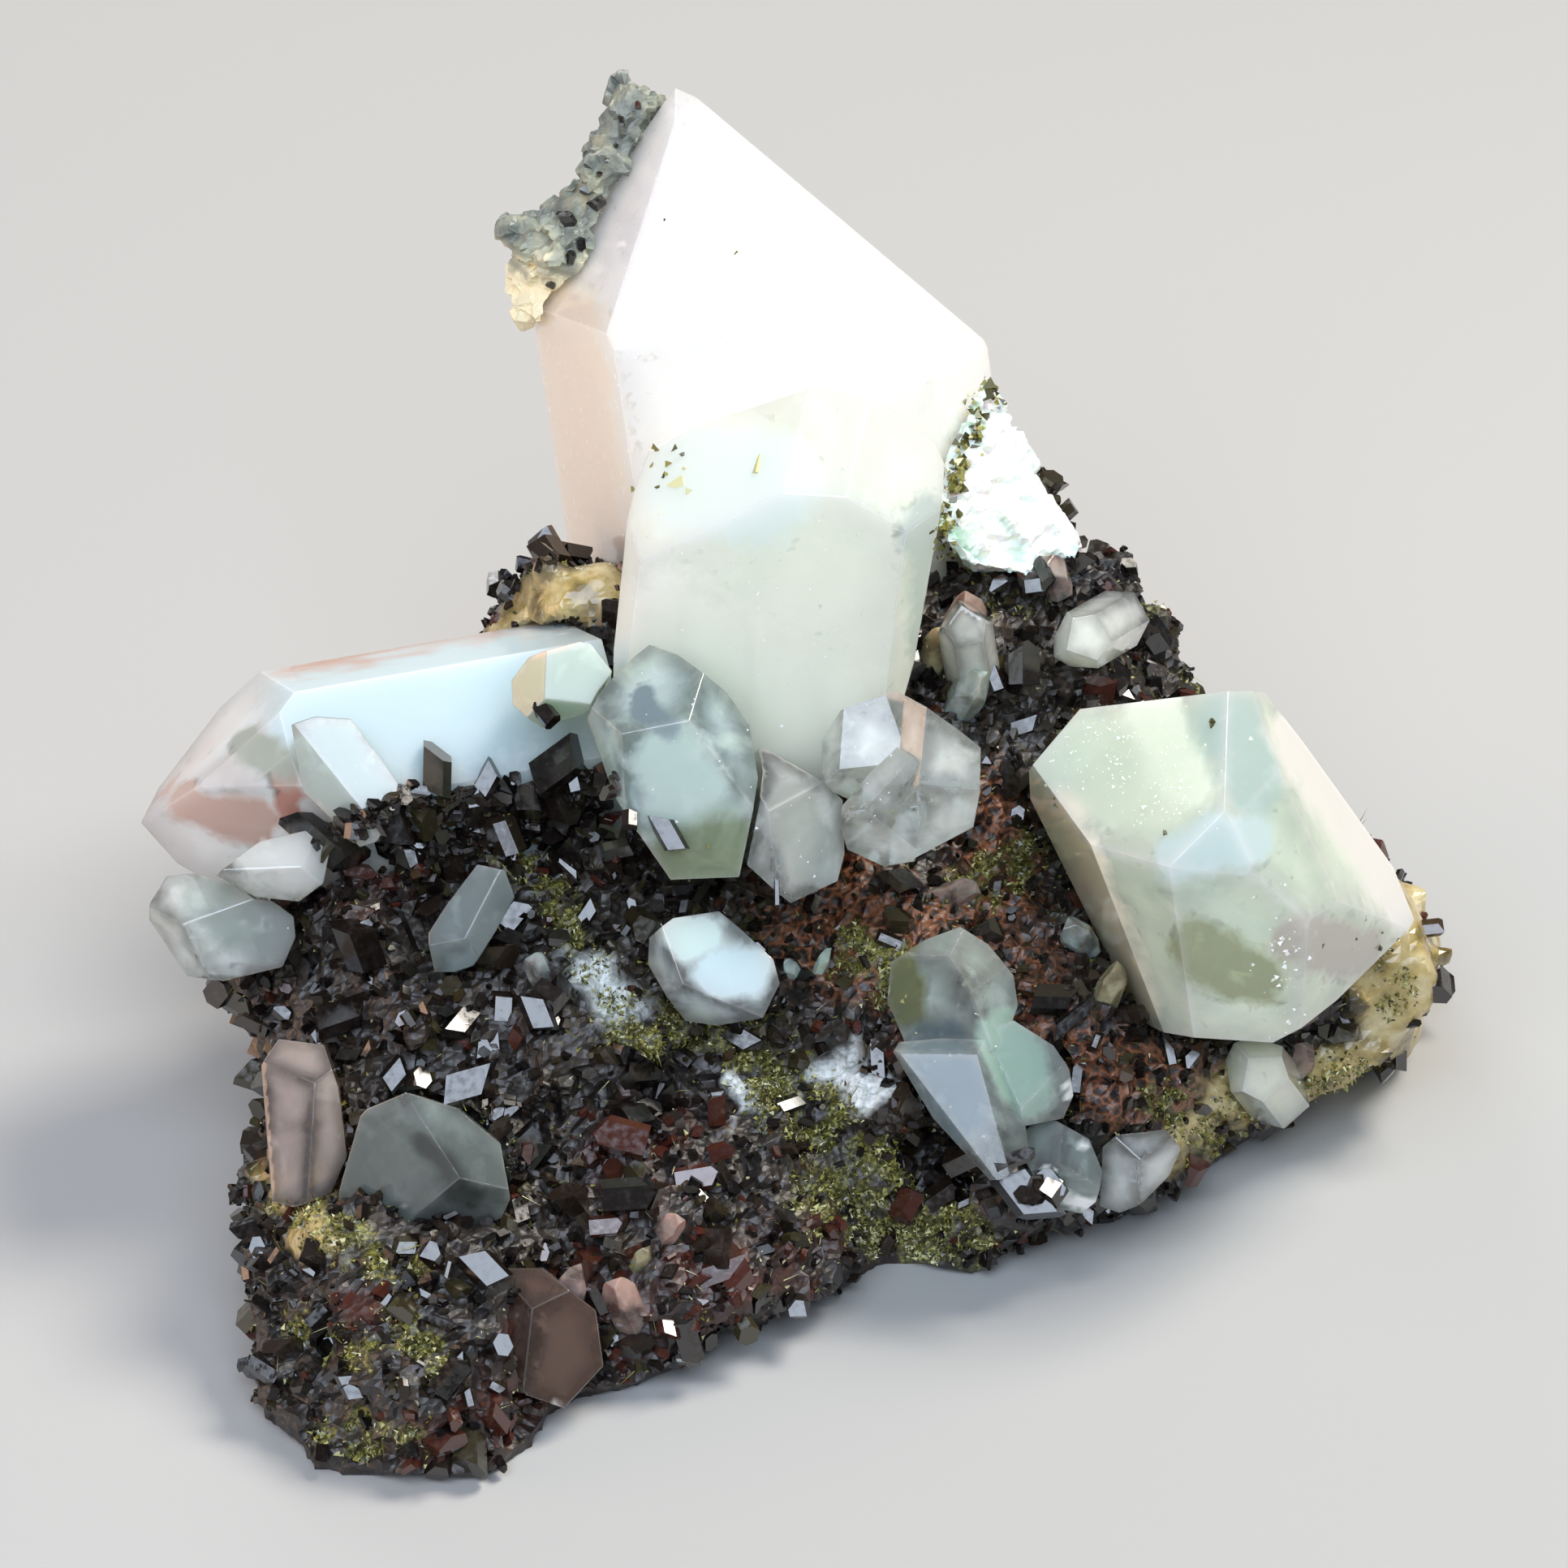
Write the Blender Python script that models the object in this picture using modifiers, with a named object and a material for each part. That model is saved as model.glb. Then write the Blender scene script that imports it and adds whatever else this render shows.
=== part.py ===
"""Epidote with quartz: quartz crystals grown in a lump of dark epidote rock.

Metres, +Z up, the origin on the floor under the middle of the specimen. It rests on its flat base.

Most places are given as they are seen by someone who looks at the front from 30 degrees above level:
(right, up, out) in millimetres from the middle of that view, out being towards the viewer. seen()
turns such a place into metres.
"""

import math
import random
from typing import NamedTuple

import bmesh
import bpy
from mathutils import Matrix, Vector, noise
from mathutils.bvhtree import BVHTree

MM = 0.001
SPECIMEN = "epidote_with_quartz"

# The view that the places refer to.
VIEW_ABOVE = math.radians(30)
VIEW_CENTRE = (-0.001, -0.007, 0.0257)
VIEW_DISTANCE = 300

# Quartz: a tip face lies 51.8 degrees from the base plane, whatever the crystal's size.
TIP_SLOPE = math.radians(51.8)
CRYSTAL_GAP = 0.3

# The sides of a crystal that is cut to its outline draw in towards its foot.
SIDE_LEAN = 94

# Rock: how finely the lumps are fused, how rough they are and how many triangles stay.
ROCK_GRAIN = 1.1
ROCK_TRIANGLES = 3000
CRUMB_GRAIN = 0.6
CRUMB_TRIANGLES = 260
BASE_SLACK = 0.15
COARSE_ROUGHNESS = (9.0, 1.5)
FINE_ROUGHNESS = (4.0, 1.0)
CRUMB_ROUGHNESS = (2.4, 1.1)

# Epidote crystals fused to the rock: how many there are at seeded places, how long they are, and how
# wide for their length.
EPIDOTE_SEED = 11
EPIDOTE_COUNT = 84
EPIDOTE_LENGTH = (2.2, 4.0)
EPIDOTE_STOUTNESS = (0.45, 0.75)
EPIDOTE_LOWEST = 4


class Facet(NamedTuple):
    """A flat face: a point on it, the way that it leans from facing the viewer, and by how many degrees."""

    point: tuple
    way: tuple
    lean: float


class Crystal(NamedTuple):
    """A six-sided quartz crystal, in millimetres and degrees.

    Its faces are numbered round the axis from the one that looks out at the viewer, and go on towards
    the viewer's right.
    """

    foot: tuple
    top: tuple
    width: float
    turn: float = 0
    flats: tuple = (0, 0, 0, 0, 0, 0)
    tips: tuple = (0, 1, 0, 1, 0, 1)
    facets: tuple = ()


class Outlined(NamedTuple):
    """A crystal cut to its outline in the view, with the facets that are seen on it, in millimetres.

    The outline is clockwise. It lies this far out, and the foot lies further back.
    """

    outline: tuple
    out: float
    back: float
    facets: tuple


class Stone(NamedTuple):
    """A material: colour, roughness and how much light goes through it."""

    colour: tuple
    roughness: float
    clear: float = 0


ROCK = Stone((0.045, 0.035, 0.022), 0.45)
MILKY = Stone((0.86, 0.83, 0.76), 0.3, 0.2)
PALE_GREEN = Stone((0.70, 0.76, 0.62), 0.25, 0.4)
CLEAR = Stone((0.80, 0.86, 0.84), 0.08, 0.9)
BLUE_GREEN = Stone((0.55, 0.70, 0.70), 0.1, 0.8)
WHITE_MASS = Stone((0.82, 0.86, 0.80), 0.5)

# Each quartz piece: its material and the crystals that are grown together in it. Where two pieces would
# meet, the one that comes first keeps its shape and the other ends against it.
QUARTZ = {
    "tall_quartz": (MILKY, [
        Crystal(
            (1.7, 7.0, -26.7), (-3.2, 41.1, -15.9), 22.8, -7,
            flats=(-0.4, -0.3, 0, 0, 0, 0.6), tips=(1.3, -3.6, -2.8, 0, 3.7, 3.4),
        ),
    ]),
    "central_quartz": (PALE_GREEN, [
        Outlined((
            (-9.7, 7.5), (-8.3, 16.1), (-7.5, 18.6), (-5.0, 19.9), (1.5, 21.7), (4.9, 21.1),
            (8.3, 18.8), (9.2, 16.6), (8.6, 11.6), (7.4, 6.8), (6.5, -0.4), (-10.0, -0.4),
        ), -2, -12, (
            Facet((-0.7, 9.2, 0.2), (0.02, -1.0), 32),
            Facet((-2.1, 16.6, 2.7), (-0.66, 0.75), 41),
            Facet((2.3, 17.8, 3.2), (0.16, 0.99), 27),
            Facet((6.1, 16.2, 2.4), (0.83, 0.55), 35),
            Facet((7.3, 12.8, 1.3), (0.88, -0.48), 59),
            Facet((-8.6, 11.5, -0.1), (-1.0, -0.06), 72),
        )),
    ]),
    "left_quartz": (MILKY, [
        Crystal(
            (-11.0, 2.8, -12.2), (-35.5, -1.7, -4.8), 13.6, 18,
            flats=(0.3, -0.5, 0, 0, 0, 0), tips=(2.1, 0, 3, 2, 3, 0),
            facets=(Facet((-27.2, 0.3, 0.1), (-0.94, 0.33), 25),),
        ),
    ]),
    "right_quartz": (PALE_GREEN, [
        Outlined((
            (13.7, 0.7), (16.5, 4.0), (26.3, 4.7), (28.6, 2.3), (34.5, -4.6), (35.7, -7.7),
            (30.6, -11.9), (27.0, -14.1), (20.4, -13.7), (19.7, -13.1), (13.7, -0.9),
        ), -2.5, -14, (
            Facet((23.4, -3.7, 8.3), (-0.11, -0.99), 5),
            Facet((20.3, -0.7, 5.6), (-0.76, 0.65), 43),
            Facet((25.0, 1.6, 6.0), (0.84, 0.55), 42),
            Facet((26.4, -3.9, 7.1), (0.93, 0.37), 44),
            Facet((30.1, -2.6, 1.6), (0.92, 0.4), 65),
            Facet((23.4, -7.4, 6.0), (-0.11, -0.99), 40),
            Facet((20.0, -5.7, 6.0), (-0.75, -0.66), 58),
            Facet((30.7, -8.9, 2.0), (0.87, -0.49), 58),
            Facet((16.2, -3.8, -0.4), (-0.89, -0.45), 82),
        )),
    ]),
    "blue_green_quartz": (BLUE_GREEN, [
        Outlined((
            (-7.4, 7.6), (-5.9, 7.0), (-3.2, 4.9), (-2.0, 3.2), (-1.6, 0.3), (-2.6, -4.9),
            (-7.4, -5.1), (-8.1, -3.2), (-9.8, 0.5), (-10.6, 1.7), (-10.7, 3.3), (-9.9, 4.9),
            (-9.3, 5.7), (-8.2, 6.9),
        ), 1.5, -4.5, (
            Facet((-6.0, 0.3, 5.4), (0.0, -1.0), 12),
            Facet((-9.0, 1.1, 5.3), (-0.97, -0.24), 48),
            Facet((-4.4, 3.4, 5.4), (0.9, 0.44), 45),
            Facet((-7.1, 3.6, 5.6), (-0.25, 1.0), 38),
        )),
    ]),
    "foot_quartz_left": (CLEAR, [
        Outlined((
            (-3.0, 1.6), (-1.7, 1.9), (-0.8, 1.7), (2.2, 0.0), (3.2, -0.9), (3.3, -3.8), (2.9, -5.3),
            (0.4, -6.3), (-1.8, -4.4), (-2.8, -3.5),
        ), 1.5, -4.0, (
            Facet((-0.8, -1.5, 5.0), (-0.9, -0.25), 28),
            Facet((-0.8, -1.5, 5.0), (1.0, 0.0), 36),
            Facet((-0.8, -1.5, 5.0), (0.7, 0.72), 34),
        )),
    ]),
    "foot_quartz_right": (CLEAR, [
        Outlined((
            (5.5, 4.9), (6.2, 5.0), (9.3, 2.9), (10.6, 1.9), (10.5, -0.6), (10.3, -2.3), (7.0, -4.1),
            (6.5, -1.5), (6.0, 1.6),
        ), 1.0, -5.0, (
            Facet((7.4, 0.5, 5.2), (0.5, 0.25), 24),
            Facet((7.4, 0.5, 5.2), (-0.95, 0.35), 45),
            Facet((7.4, -0.4, 5.0), (0.35, -0.9), 40),
        )),
        Outlined((
            (2.2, 0.4), (2.2, 2.4), (3.2, 3.9), (4.5, 4.4), (5.5, 4.7), (6.3, 2.3), (6.0, 0.9),
            (4.1, -0.6), (3.2, -0.9),
        ), 1.0, -3.5, (
            Facet((4.2, 1.8, 3.9), (0.1, 0.3), 14),
            Facet((2.9, 1.8, 3.7), (-1.0, 0.25), 55),
            Facet((4.2, 0.5, 3.6), (0.2, -1.0), 50),
        )),
        Outlined((
            (3.4, -1.3), (4.9, 0.5), (6.2, 1.7), (7.5, 0.7), (7.4, -1.3), (7.0, -4.1), (5.5, -4.4),
            (3.6, -3.5), (3.3, -2.3),
        ), 1.0, -4.0, (
            Facet((5.5, -0.8, 5.0), (0.4, -0.3), 18),
            Facet((4.7, -0.8, 5.0), (-0.6, 0.6), 38),
            Facet((5.3, -2.4, 4.5), (-0.3, -1.0), 42),
        )),
    ]),
    "left_small_quartz": (CLEAR, [
        Outlined((
            (-26.8, 3.1), (-25.7, 3.5), (-23.9, 3.4), (-21.4, 0.0), (-21.6, -1.5), (-22.5, -3.0),
            (-23.3, -3.3), (-26.4, -0.4),
        ), 0.0, -3.0, (
            Facet((-25.2, 1.2, 3.4), (0.5, 0.5), 16),
            Facet((-25.2, 1.2, 3.4), (-0.8, -0.6), 42),
        )),
    ]),
    "left_lens_quartz": (CLEAR, [
        Outlined((
            (-30.9, -5.0), (-28.8, -3.3), (-26.4, -2.7), (-25.2, -3.8), (-25.5, -5.4), (-26.8, -6.4),
            (-29.1, -6.1),
        ), 0.0, -2.5, (
            Facet((-27.9, -4.5, 2.8), (0.05, 1.0), 26),
            Facet((-27.9, -4.7, 2.8), (0.1, -1.0), 36),
            Facet((-26.4, -4.6, 2.7), (1.0, 0.1), 40),
        )),
    ]),
    "left_lower_quartz": (CLEAR, [
        Outlined((
            (-34.3, -5.2), (-32.8, -5.0), (-28.8, -6.3), (-27.3, -7.4), (-27.2, -8.5), (-27.9, -10.1),
            (-31.0, -10.8), (-33.1, -10.6), (-35.1, -7.5), (-35.0, -6.6),
        ), -1.5, -5.0, (
            Facet((-33.2, -7.7, 1.2), (-0.1, 1.0), 34),
            Facet((-33.2, -7.8, 1.2), (-0.75, -0.66), 42),
            Facet((-33.2, -7.8, 1.2), (0.5, -0.35), 16),
        )),
    ]),
    "pale_hexagon_quartz": (PALE_GREEN, [
        Outlined((
            (-15.0, 5.7), (-14.0, 6.9), (-11.3, 7.7), (-10.7, 7.6), (-9.6, 6.2), (-9.8, 5.0),
            (-11.0, 4.0), (-13.3, 3.2), (-14.9, 4.4),
        ), 0.5, -3.0, (
            Facet((-13.1, 5.4, 3.2), (0.4, 0.3), 15),
            Facet((-13.1, 5.4, 3.2), (-0.95, 0.2), 45),
            Facet((-12.3, 4.5, 3.1), (0.1, -1.0), 42),
        )),
    ]),
    "front_hexagon_quartz": (BLUE_GREEN, [
        Outlined((
            (-7.3, -8.5), (-6.0, -7.5), (-3.6, -7.1), (-2.4, -8.1), (-0.7, -9.7), (-0.4, -10.9),
            (-1.3, -12.6), (-3.7, -13.2), (-5.4, -13.0), (-7.4, -9.9),
        ), 1.5, -4.0, (
            Facet((-5.5, -10.9, 5.0), (0.35, 0.5), 22),
            Facet((-5.5, -10.9, 5.0), (-1.0, -0.2), 55),
            Facet((-5.5, -10.9, 5.0), (-0.34, -0.94), 55),
        )),
    ]),
    "front_grey_quartz": (BLUE_GREEN, [
        Outlined((
            (-16.7, -4.6), (-15.4, -4.9), (-14.9, -6.2), (-15.9, -8.0), (-17.1, -9.9), (-18.1, -10.3),
            (-19.2, -10.3), (-19.3, -8.2), (-18.4, -6.8),
        ), 1.5, -1.5, (
            Facet((-17.3, -7.7, 4.6), (-0.6, 0.3), 24),
            Facet((-16.9, -7.7, 4.6), (0.85, -0.45), 48),
            Facet((-18.2, -8.6, 4.4), (-0.1, -1.0), 50),
        )),
    ]),
    "cluster_quartz": (BLUE_GREEN, [
        Outlined((
            (9.7, -8.0), (11.2, -8.9), (12.6, -10.6), (12.8, -12.2), (12.3, -13.3), (11.1, -14.6),
            (6.8, -14.3), (5.8, -12.0), (6.0, -9.9), (7.8, -8.7),
        ), 0.0, -5.0, (
            Facet((10.3, -11.4, 3.4), (-0.8, -0.2), 25),
            Facet((10.3, -11.4, 3.4), (0.93, 0.37), 42),
            Facet((10.3, -11.4, 3.4), (0.75, 0.67), 42),
            Facet((9.4, -9.3, 3.0), (-0.35, 1.0), 52),
        )),
        Outlined((
            (6.4, -14.3), (8.7, -14.1), (11.2, -14.2), (12.2, -16.5), (13.1, -18.5), (13.3, -20.1),
            (11.9, -21.3), (10.3, -21.5), (8.3, -18.2), (6.2, -16.0), (6.0, -15.0),
        ), 1.0, -4.0, (
            Facet((9.3, -16.6, 4.2), (-0.2, 0.1), 8),
            Facet((10.9, -15.9, 4.3), (0.93, 0.33), 50),
            Facet((7.3, -16.4, 3.7), (-0.85, -0.5), 46),
            Facet((8.6, -14.7, 3.9), (-0.1, 1.0), 50),
        )),
        Outlined((
            (11.1, -13.9), (12.6, -13.2), (14.7, -14.5), (15.6, -15.8), (15.9, -17.2), (15.4, -18.4),
            (13.3, -18.6), (11.9, -15.8),
        ), 0.0, -4.0, (
            Facet((12.3, -16.3, 3.2), (0.4, 0.25), 16),
            Facet((12.3, -16.3, 3.2), (-0.92, -0.4), 55),
            Facet((14.5, -16.5, 2.6), (0.8, -0.4), 42),
        )),
        Outlined((
            (13.3, -19.3), (14.4, -18.4), (16.8, -19.7), (17.5, -21.4), (17.2, -23.1), (16.5, -23.8),
            (15.1, -23.5), (13.5, -20.9),
        ), -0.5, -5.0, (
            Facet((15.2, -20.7, 2.0), (-0.5, 0.4), 28),
            Facet((15.2, -20.7, 2.0), (0.6, 0.25), 30),
            Facet((15.2, -21.2, 1.8), (-0.1, -1.0), 38),
        )),
        Outlined((
            (6.1, -20.1), (7.3, -19.2), (8.7, -19.6), (10.4, -21.8), (9.8, -23.4), (7.8, -23.0),
            (6.2, -21.3),
        ), 0.5, -4.0, (
            Facet((8.0, -20.7, 2.8), (0.3, 0.8), 30),
            Facet((8.0, -20.7, 2.8), (-0.5, -0.8), 35),
            Facet((8.0, -20.7, 2.8), (0.9, -0.3), 40),
        )),
    ]),
    "edge_quartz": (CLEAR, [
        Outlined((
            (17.8, -20.2), (18.5, -19.6), (21.1, -19.3), (22.0, -20.3), (21.4, -21.8), (19.9, -23.2),
            (18.7, -23.9), (17.6, -23.6),
        ), -2.0, -7.0, (
            Facet((19.7, -20.8, 0.6), (0.1, 0.6), 25),
            Facet((19.7, -20.8, 0.6), (-0.8, -0.5), 42),
            Facet((19.7, -20.8, 0.6), (0.7, -0.5), 42),
        )),
    ]),
    "shaded_quartz": (BLUE_GREEN, [
        Outlined((
            (-17.7, -17.7), (-15.5, -19.5), (-15.0, -22.3), (-15.4, -23.3), (-18.4, -24.9),
            (-19.6, -25.5), (-24.6, -24.3), (-23.8, -21.9), (-23.4, -18.9), (-22.2, -17.7),
            (-20.2, -16.9),
        ), 5.0, 0.0, (
            Facet((-18.5, -19.3, 10.6), (-0.6, -0.4), 24),
            Facet((-18.5, -19.3, 10.6), (0.84, 0.54), 36),
            Facet((-18.6, -22.4, 9.6), (0.25, -1.0), 45),
        )),
    ]),
    "left_edge_quartz": (MILKY, [
        Outlined((
            (-28.1, -15.3), (-27.4, -14.0), (-25.1, -14.3), (-24.3, -16.5), (-23.9, -20.2),
            (-24.7, -22.0), (-26.5, -22.6), (-27.5, -22.4),
        ), 4.0, 0.0, (
            Facet((-25.4, -18.1, 8.2), (-0.6, 0.0), 22),
            Facet((-25.4, -18.1, 8.2), (1.0, -0.1), 42),
            Facet((-25.7, -15.5, 7.6), (0.0, 1.0), 45),
        )),
    ]),
    "low_quartz": (MILKY, [
        Outlined((
            (-16.4, -28.4), (-14.8, -26.1), (-13.0, -26.1), (-10.2, -28.3), (-9.8, -31.2),
            (-11.8, -33.2), (-13.6, -32.4),
        ), 8.0, 7.0, (
            Facet((-13.5, -28.7, 11.6), (-0.9, 0.1), 34),
            Facet((-13.5, -28.7, 11.6), (0.9, -0.1), 26),
            Facet((-13.3, -27.5, 11.2), (0.1, 1.0), 40),
        )),
    ]),
    "shoulder_quartz": (CLEAR, [
        Crystal((19.7, 9.7, -16.0), (16.2, 7.7, -10.0), 3.2, 0),
    ]),
    "ridge_quartz": (CLEAR, [
        Crystal((10.9, 6.3, -12.0), (10.1, 10.2, -8.0), 2.8, 0),
    ]),
    "right_edge_quartz": (MILKY, [
        Crystal((28.4, -18.0, -11.0), (26.1, -15.4, -4.0), 3.4, 0),
    ]),
    "back_left_quartz": (MILKY, [
        Crystal((-15.0, 3.0, -33.0), (-20.0, 8.5, -42.5), 5.4, 0),
    ]),
    "back_right_quartz": (CLEAR, [
        Crystal((17.0, 2.0, -34.0), (21.0, 9.0, -40.5), 4.6, 0),
    ]),
    "back_low_quartz": (PALE_GREEN, [
        Crystal((2.0, 0.5, -40.0), (4.0, 4.5, -49.0), 4.2, 0),
    ]),
    "white_massive_quartz": (WHITE_MASS, [
        Outlined((
            (11.9, 23.6), (13.5, 21.2), (17.1, 13.6), (14.7, 12.2), (10.7, 13.1), (9.2, 15.0),
            (9.9, 19.3),
        ), -20, -24, (
            Facet((9.2, 16.9, -13.5), (0.86, 0.51), 30),
        )),
    ]),
}

# Epidote and rock crumbs that cling to the tall crystal's tip: centres in the view, and radii.
TIP_CRUMBS = (
    ((-8.3, 39.6, -19.0), 2.3),
    ((-9.6, 37.0, -18.5), 2.6),
    ((-11.2, 34.2, -18.0), 2.2),
    ((-13.2, 31.8, -18.5), 2.9),
    ((-14.3, 29.4, -19.5), 2.2),
)

# Large epidote crystals on the front: where each is seen, its length and width, and how far it leans
# to the right and upwards.
EPIDOTE_LARGE = (
    ((-25.2, -3.6), 4.4, 2.6, (-0.6, 0.9)),
    ((-19.2, 0.2), 2.6, 1.9, (-0.3, 0.9)),
    ((-12.0, -1.6), 3.0, 2.4, (0.2, 0.5)),
    ((-6.4, -2.8), 2.6, 1.9, (-0.2, 0.6)),
    ((-13.6, -12.8), 2.8, 2.0, (0.1, 0.8)),
    ((-16.4, -27.2), 3.2, 2.4, (-0.3, 0.7)),
    ((15.2, -12.6), 3.6, 2.2, (0.8, 0.6)),
    ((13.9, -21.6), 4.0, 2.6, (0.6, -0.4)),
    ((-8.6, -22.8), 3.2, 2.2, (0.9, 0.0)),
    ((-9.0, -19.6), 3.4, 2.4, (-0.7, 0.3)),
    ((13.2, 6.6), 3.0, 2.4, (0.3, 0.6)),
    ((16.2, -16.4), 2.2, 1.2, (0.0, 1.0)),
)

# Rock lumps in metric places, not seen ones: centre and radii along X, Y and Z.
LUMPS = (
    ((-21, -17, -2), (12, 21, 15)),
    ((-9, -16, 0), (13, 14, 11)),
    ((-13, -3, 8), (19, 15, 11)),
    ((8, -3, 4), (17, 15, 14)),
    ((22, 5, 6), (19, 13, 11)),
    ((3, 15, 16), (18, 14, 13)),
    ((-12.5, 12, 22), (6, 6, 9)),
    ((-24, -1, 13), (12, 10, 9)),
    ((13, 19, 24), (8, 7, 10)),
    ((34, 1, 9), (6, 7, 6)),
    ((-12, 18, 7), (17, 15, 12)),
    ((10, 22, 8), (18, 14, 13)),
    ((1, 24, 14), (14, 11, 10)),
)

# Broken faces of the rock's back and sides: a point and the way that each faces.
BREAKS = (
    ((0, 33, 8), (0.12, 1, 0.15)),
    ((-20, 27, 8), (-0.6, 0.8, 0.1)),
    ((-28, 11, 6), (-1, 0.35, -0.1)),
    ((27, 23, 8), (0.7, 0.7, 0.05)),
    ((0, 31, 23), (-0.1, 0.5, 0.85)),
)

# The rock's outline in the view, (right, up) at out = 0; behind the quartz it runs where it can't be seen.
ROCK_OUTLINE = (
    (-9.5, 12.0), (-11.7, 12.0), (-13.2, 13.6), (-14.7, 12.4), (-14.9, 10.2), (-17.0, 9.2), (-25.0, 5.0),
    (-31.0, 0.0), (-33.5, -5.0), (-34.9, -7.4), (-32.2, -11.0), (-29.5, -12.3), (-29.2, -15.0),
    (-28.0, -19.5), (-29.0, -24.0), (-29.5, -32.0), (-28.2, -35.7), (-25.5, -38.2), (-19.2, -38.9),
    (-13.8, -37.5), (-3.9, -30.3), (4.2, -27.4), (6.5, -27.6), (9.6, -27.4), (12.8, -25.4), (18.6, -24.0),
    (24.0, -20.9), (30.3, -16.8), (34.8, -14.6), (36.4, -10.0), (34.5, -6.5), (31.0, -2.0), (28.0, 2.4),
    (26.7, 4.3), (23.1, 6.8), (19.5, 10.2), (15.9, 12.9), (14.5, 17.0), (12.2, 20.5), (8.0, 22.0),
    (0.0, 16.0), (-6.0, 12.5),
)


def view_axes():
    """The view's right, up and out directions."""
    sine, cosine = math.sin(VIEW_ABOVE), math.cos(VIEW_ABOVE)
    return Vector((1, 0, 0)), Vector((0, sine, cosine)), Vector((0, -cosine, sine))


def seen(right, up, out):
    """The point in metres that is seen at these millimetres."""
    across, upward, outward = view_axes()
    return Vector(VIEW_CENTRE) + (across * right + upward * up + outward * out) * MM


def material(name, stone):
    """A plain material of the stone's colour, for one piece."""
    made = bpy.data.materials.new(name)
    made.use_nodes = True
    surface = made.node_tree.nodes["Principled BSDF"]
    surface.inputs["Base Color"].default_value = (*stone.colour, 1)
    surface.inputs["Roughness"].default_value = stone.roughness
    surface.inputs["Metallic"].default_value = 0
    surface.inputs["Transmission Weight"].default_value = stone.clear
    surface.inputs["IOR"].default_value = 1.544
    made.diffuse_color = (*stone.colour, 1)
    return made


def new_object(name, mesh_maker, collection):
    """An object in the collection, with the mesh that the maker leaves in its bmesh."""
    mesh = bpy.data.meshes.new(name)
    bm = bmesh.new()
    mesh_maker(bm)
    bm.to_mesh(mesh)
    bm.free()
    made = bpy.data.objects.new(name, mesh)
    collection.objects.link(made)
    return made


def helper(name, mesh_maker, collection):
    """An object that only cuts or joins others and isn't part of the specimen."""
    made = new_object(name, mesh_maker, collection)
    made.hide_render = True
    made.display_type = "WIRE"
    return made


def settle(piece):
    """Replaces the object's mesh by what its modifiers make of it."""
    graph = bpy.context.evaluated_depsgraph_get()
    mesh = bpy.data.meshes.new_from_object(piece.evaluated_get(graph))
    piece.modifiers.clear()
    piece.data = mesh
    mesh.name = piece.name


def boolean(piece, operation, others):
    """Joins or cuts the piece with other objects, one after another."""
    for other in others:
        step = piece.modifiers.new(operation.lower(), "BOOLEAN")
        step.operation = operation
        step.solver = "EXACT"
        step.object = other


def cut(bm, point, normal):
    """Cuts off what lies in front of the plane and closes the cut with a flat face."""
    everything = bm.verts[:] + bm.edges[:] + bm.faces[:]
    found = bmesh.ops.bisect_plane(
        bm, geom=everything, dist=1e-8, plane_co=point, plane_no=normal, clear_outer=True
    )
    rim = [item for item in found["geom_cut"] if isinstance(item, bmesh.types.BMEdge)]
    if rim:
        bmesh.ops.edgeloop_fill(bm, edges=rim)


def cut_facet(bm, facet, grow):
    """Cuts one facet of a crystal."""
    across, upward, outward = view_axes()
    way = (across * facet.way[0] + upward * facet.way[1]).normalized()
    lean = math.radians(facet.lean)
    facing = way * math.sin(lean) + outward * math.cos(lean)
    cut(bm, seen(*facet.point) + facing * grow * MM, facing)


def cut_outlined(bm, crystal, grow):
    """Cuts a crystal out of a block along its outline, its facets and a flat foot."""
    outline = crystal.outline
    bmesh.ops.create_cube(bm, size=80 * MM, matrix=Matrix.Translation(seen(*outline[0], crystal.back)))
    for start, end in zip(outline, outline[1:] + outline[:1]):
        away = (start[1] - end[1], end[0] - start[0])
        cut_facet(bm, Facet((*start, crystal.out), away, SIDE_LEAN), grow)
    for facet in crystal.facets:
        cut_facet(bm, facet, grow)
    cut(bm, seen(*outline[0], crystal.back - grow), -view_axes()[2])


def cut_crystal(bm, crystal, grow=0.0):
    """Cuts one crystal out of a block: prism faces, tip faces and a flat foot, or an outline."""
    if isinstance(crystal, Outlined):
        cut_outlined(bm, crystal, grow)
        return
    foot, top = seen(*crystal.foot), seen(*crystal.top)
    axis = (top - foot).normalized()
    outward = view_axes()[2]
    front = (outward - axis * outward.dot(axis)).normalized()
    side = axis.cross(front)
    size = 4 * ((top - foot).length + crystal.width * MM)
    bmesh.ops.create_cube(bm, size=size, matrix=Matrix.Translation(foot))
    cut(bm, foot - axis * grow * MM, -axis)
    for number in range(6):
        angle = math.radians(crystal.turn + 60 * number)
        across = front * math.cos(angle) + side * math.sin(angle)
        reach = crystal.width / 2 + crystal.flats[number] + grow
        cut(bm, foot + across * reach * MM, across)
        sloping = across * math.sin(TIP_SLOPE) + axis * math.cos(TIP_SLOPE)
        cut(bm, top + axis * crystal.tips[number] * MM + sloping * grow * MM, sloping)
    for facet in crystal.facets:
        cut_facet(bm, facet, grow)


def quartz_piece(name, crystals, collection, helpers):
    """One quartz piece: its first crystal, with the others grown into it."""
    piece = new_object(name, lambda bm: cut_crystal(bm, crystals[0]), collection)
    others = [
        helper(f"{name}_{number}", lambda bm: cut_crystal(bm, crystal), helpers)
        for number, crystal in enumerate(crystals[1:], 2)
    ]
    boolean(piece, "UNION", others)
    settle(piece)
    return piece


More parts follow.
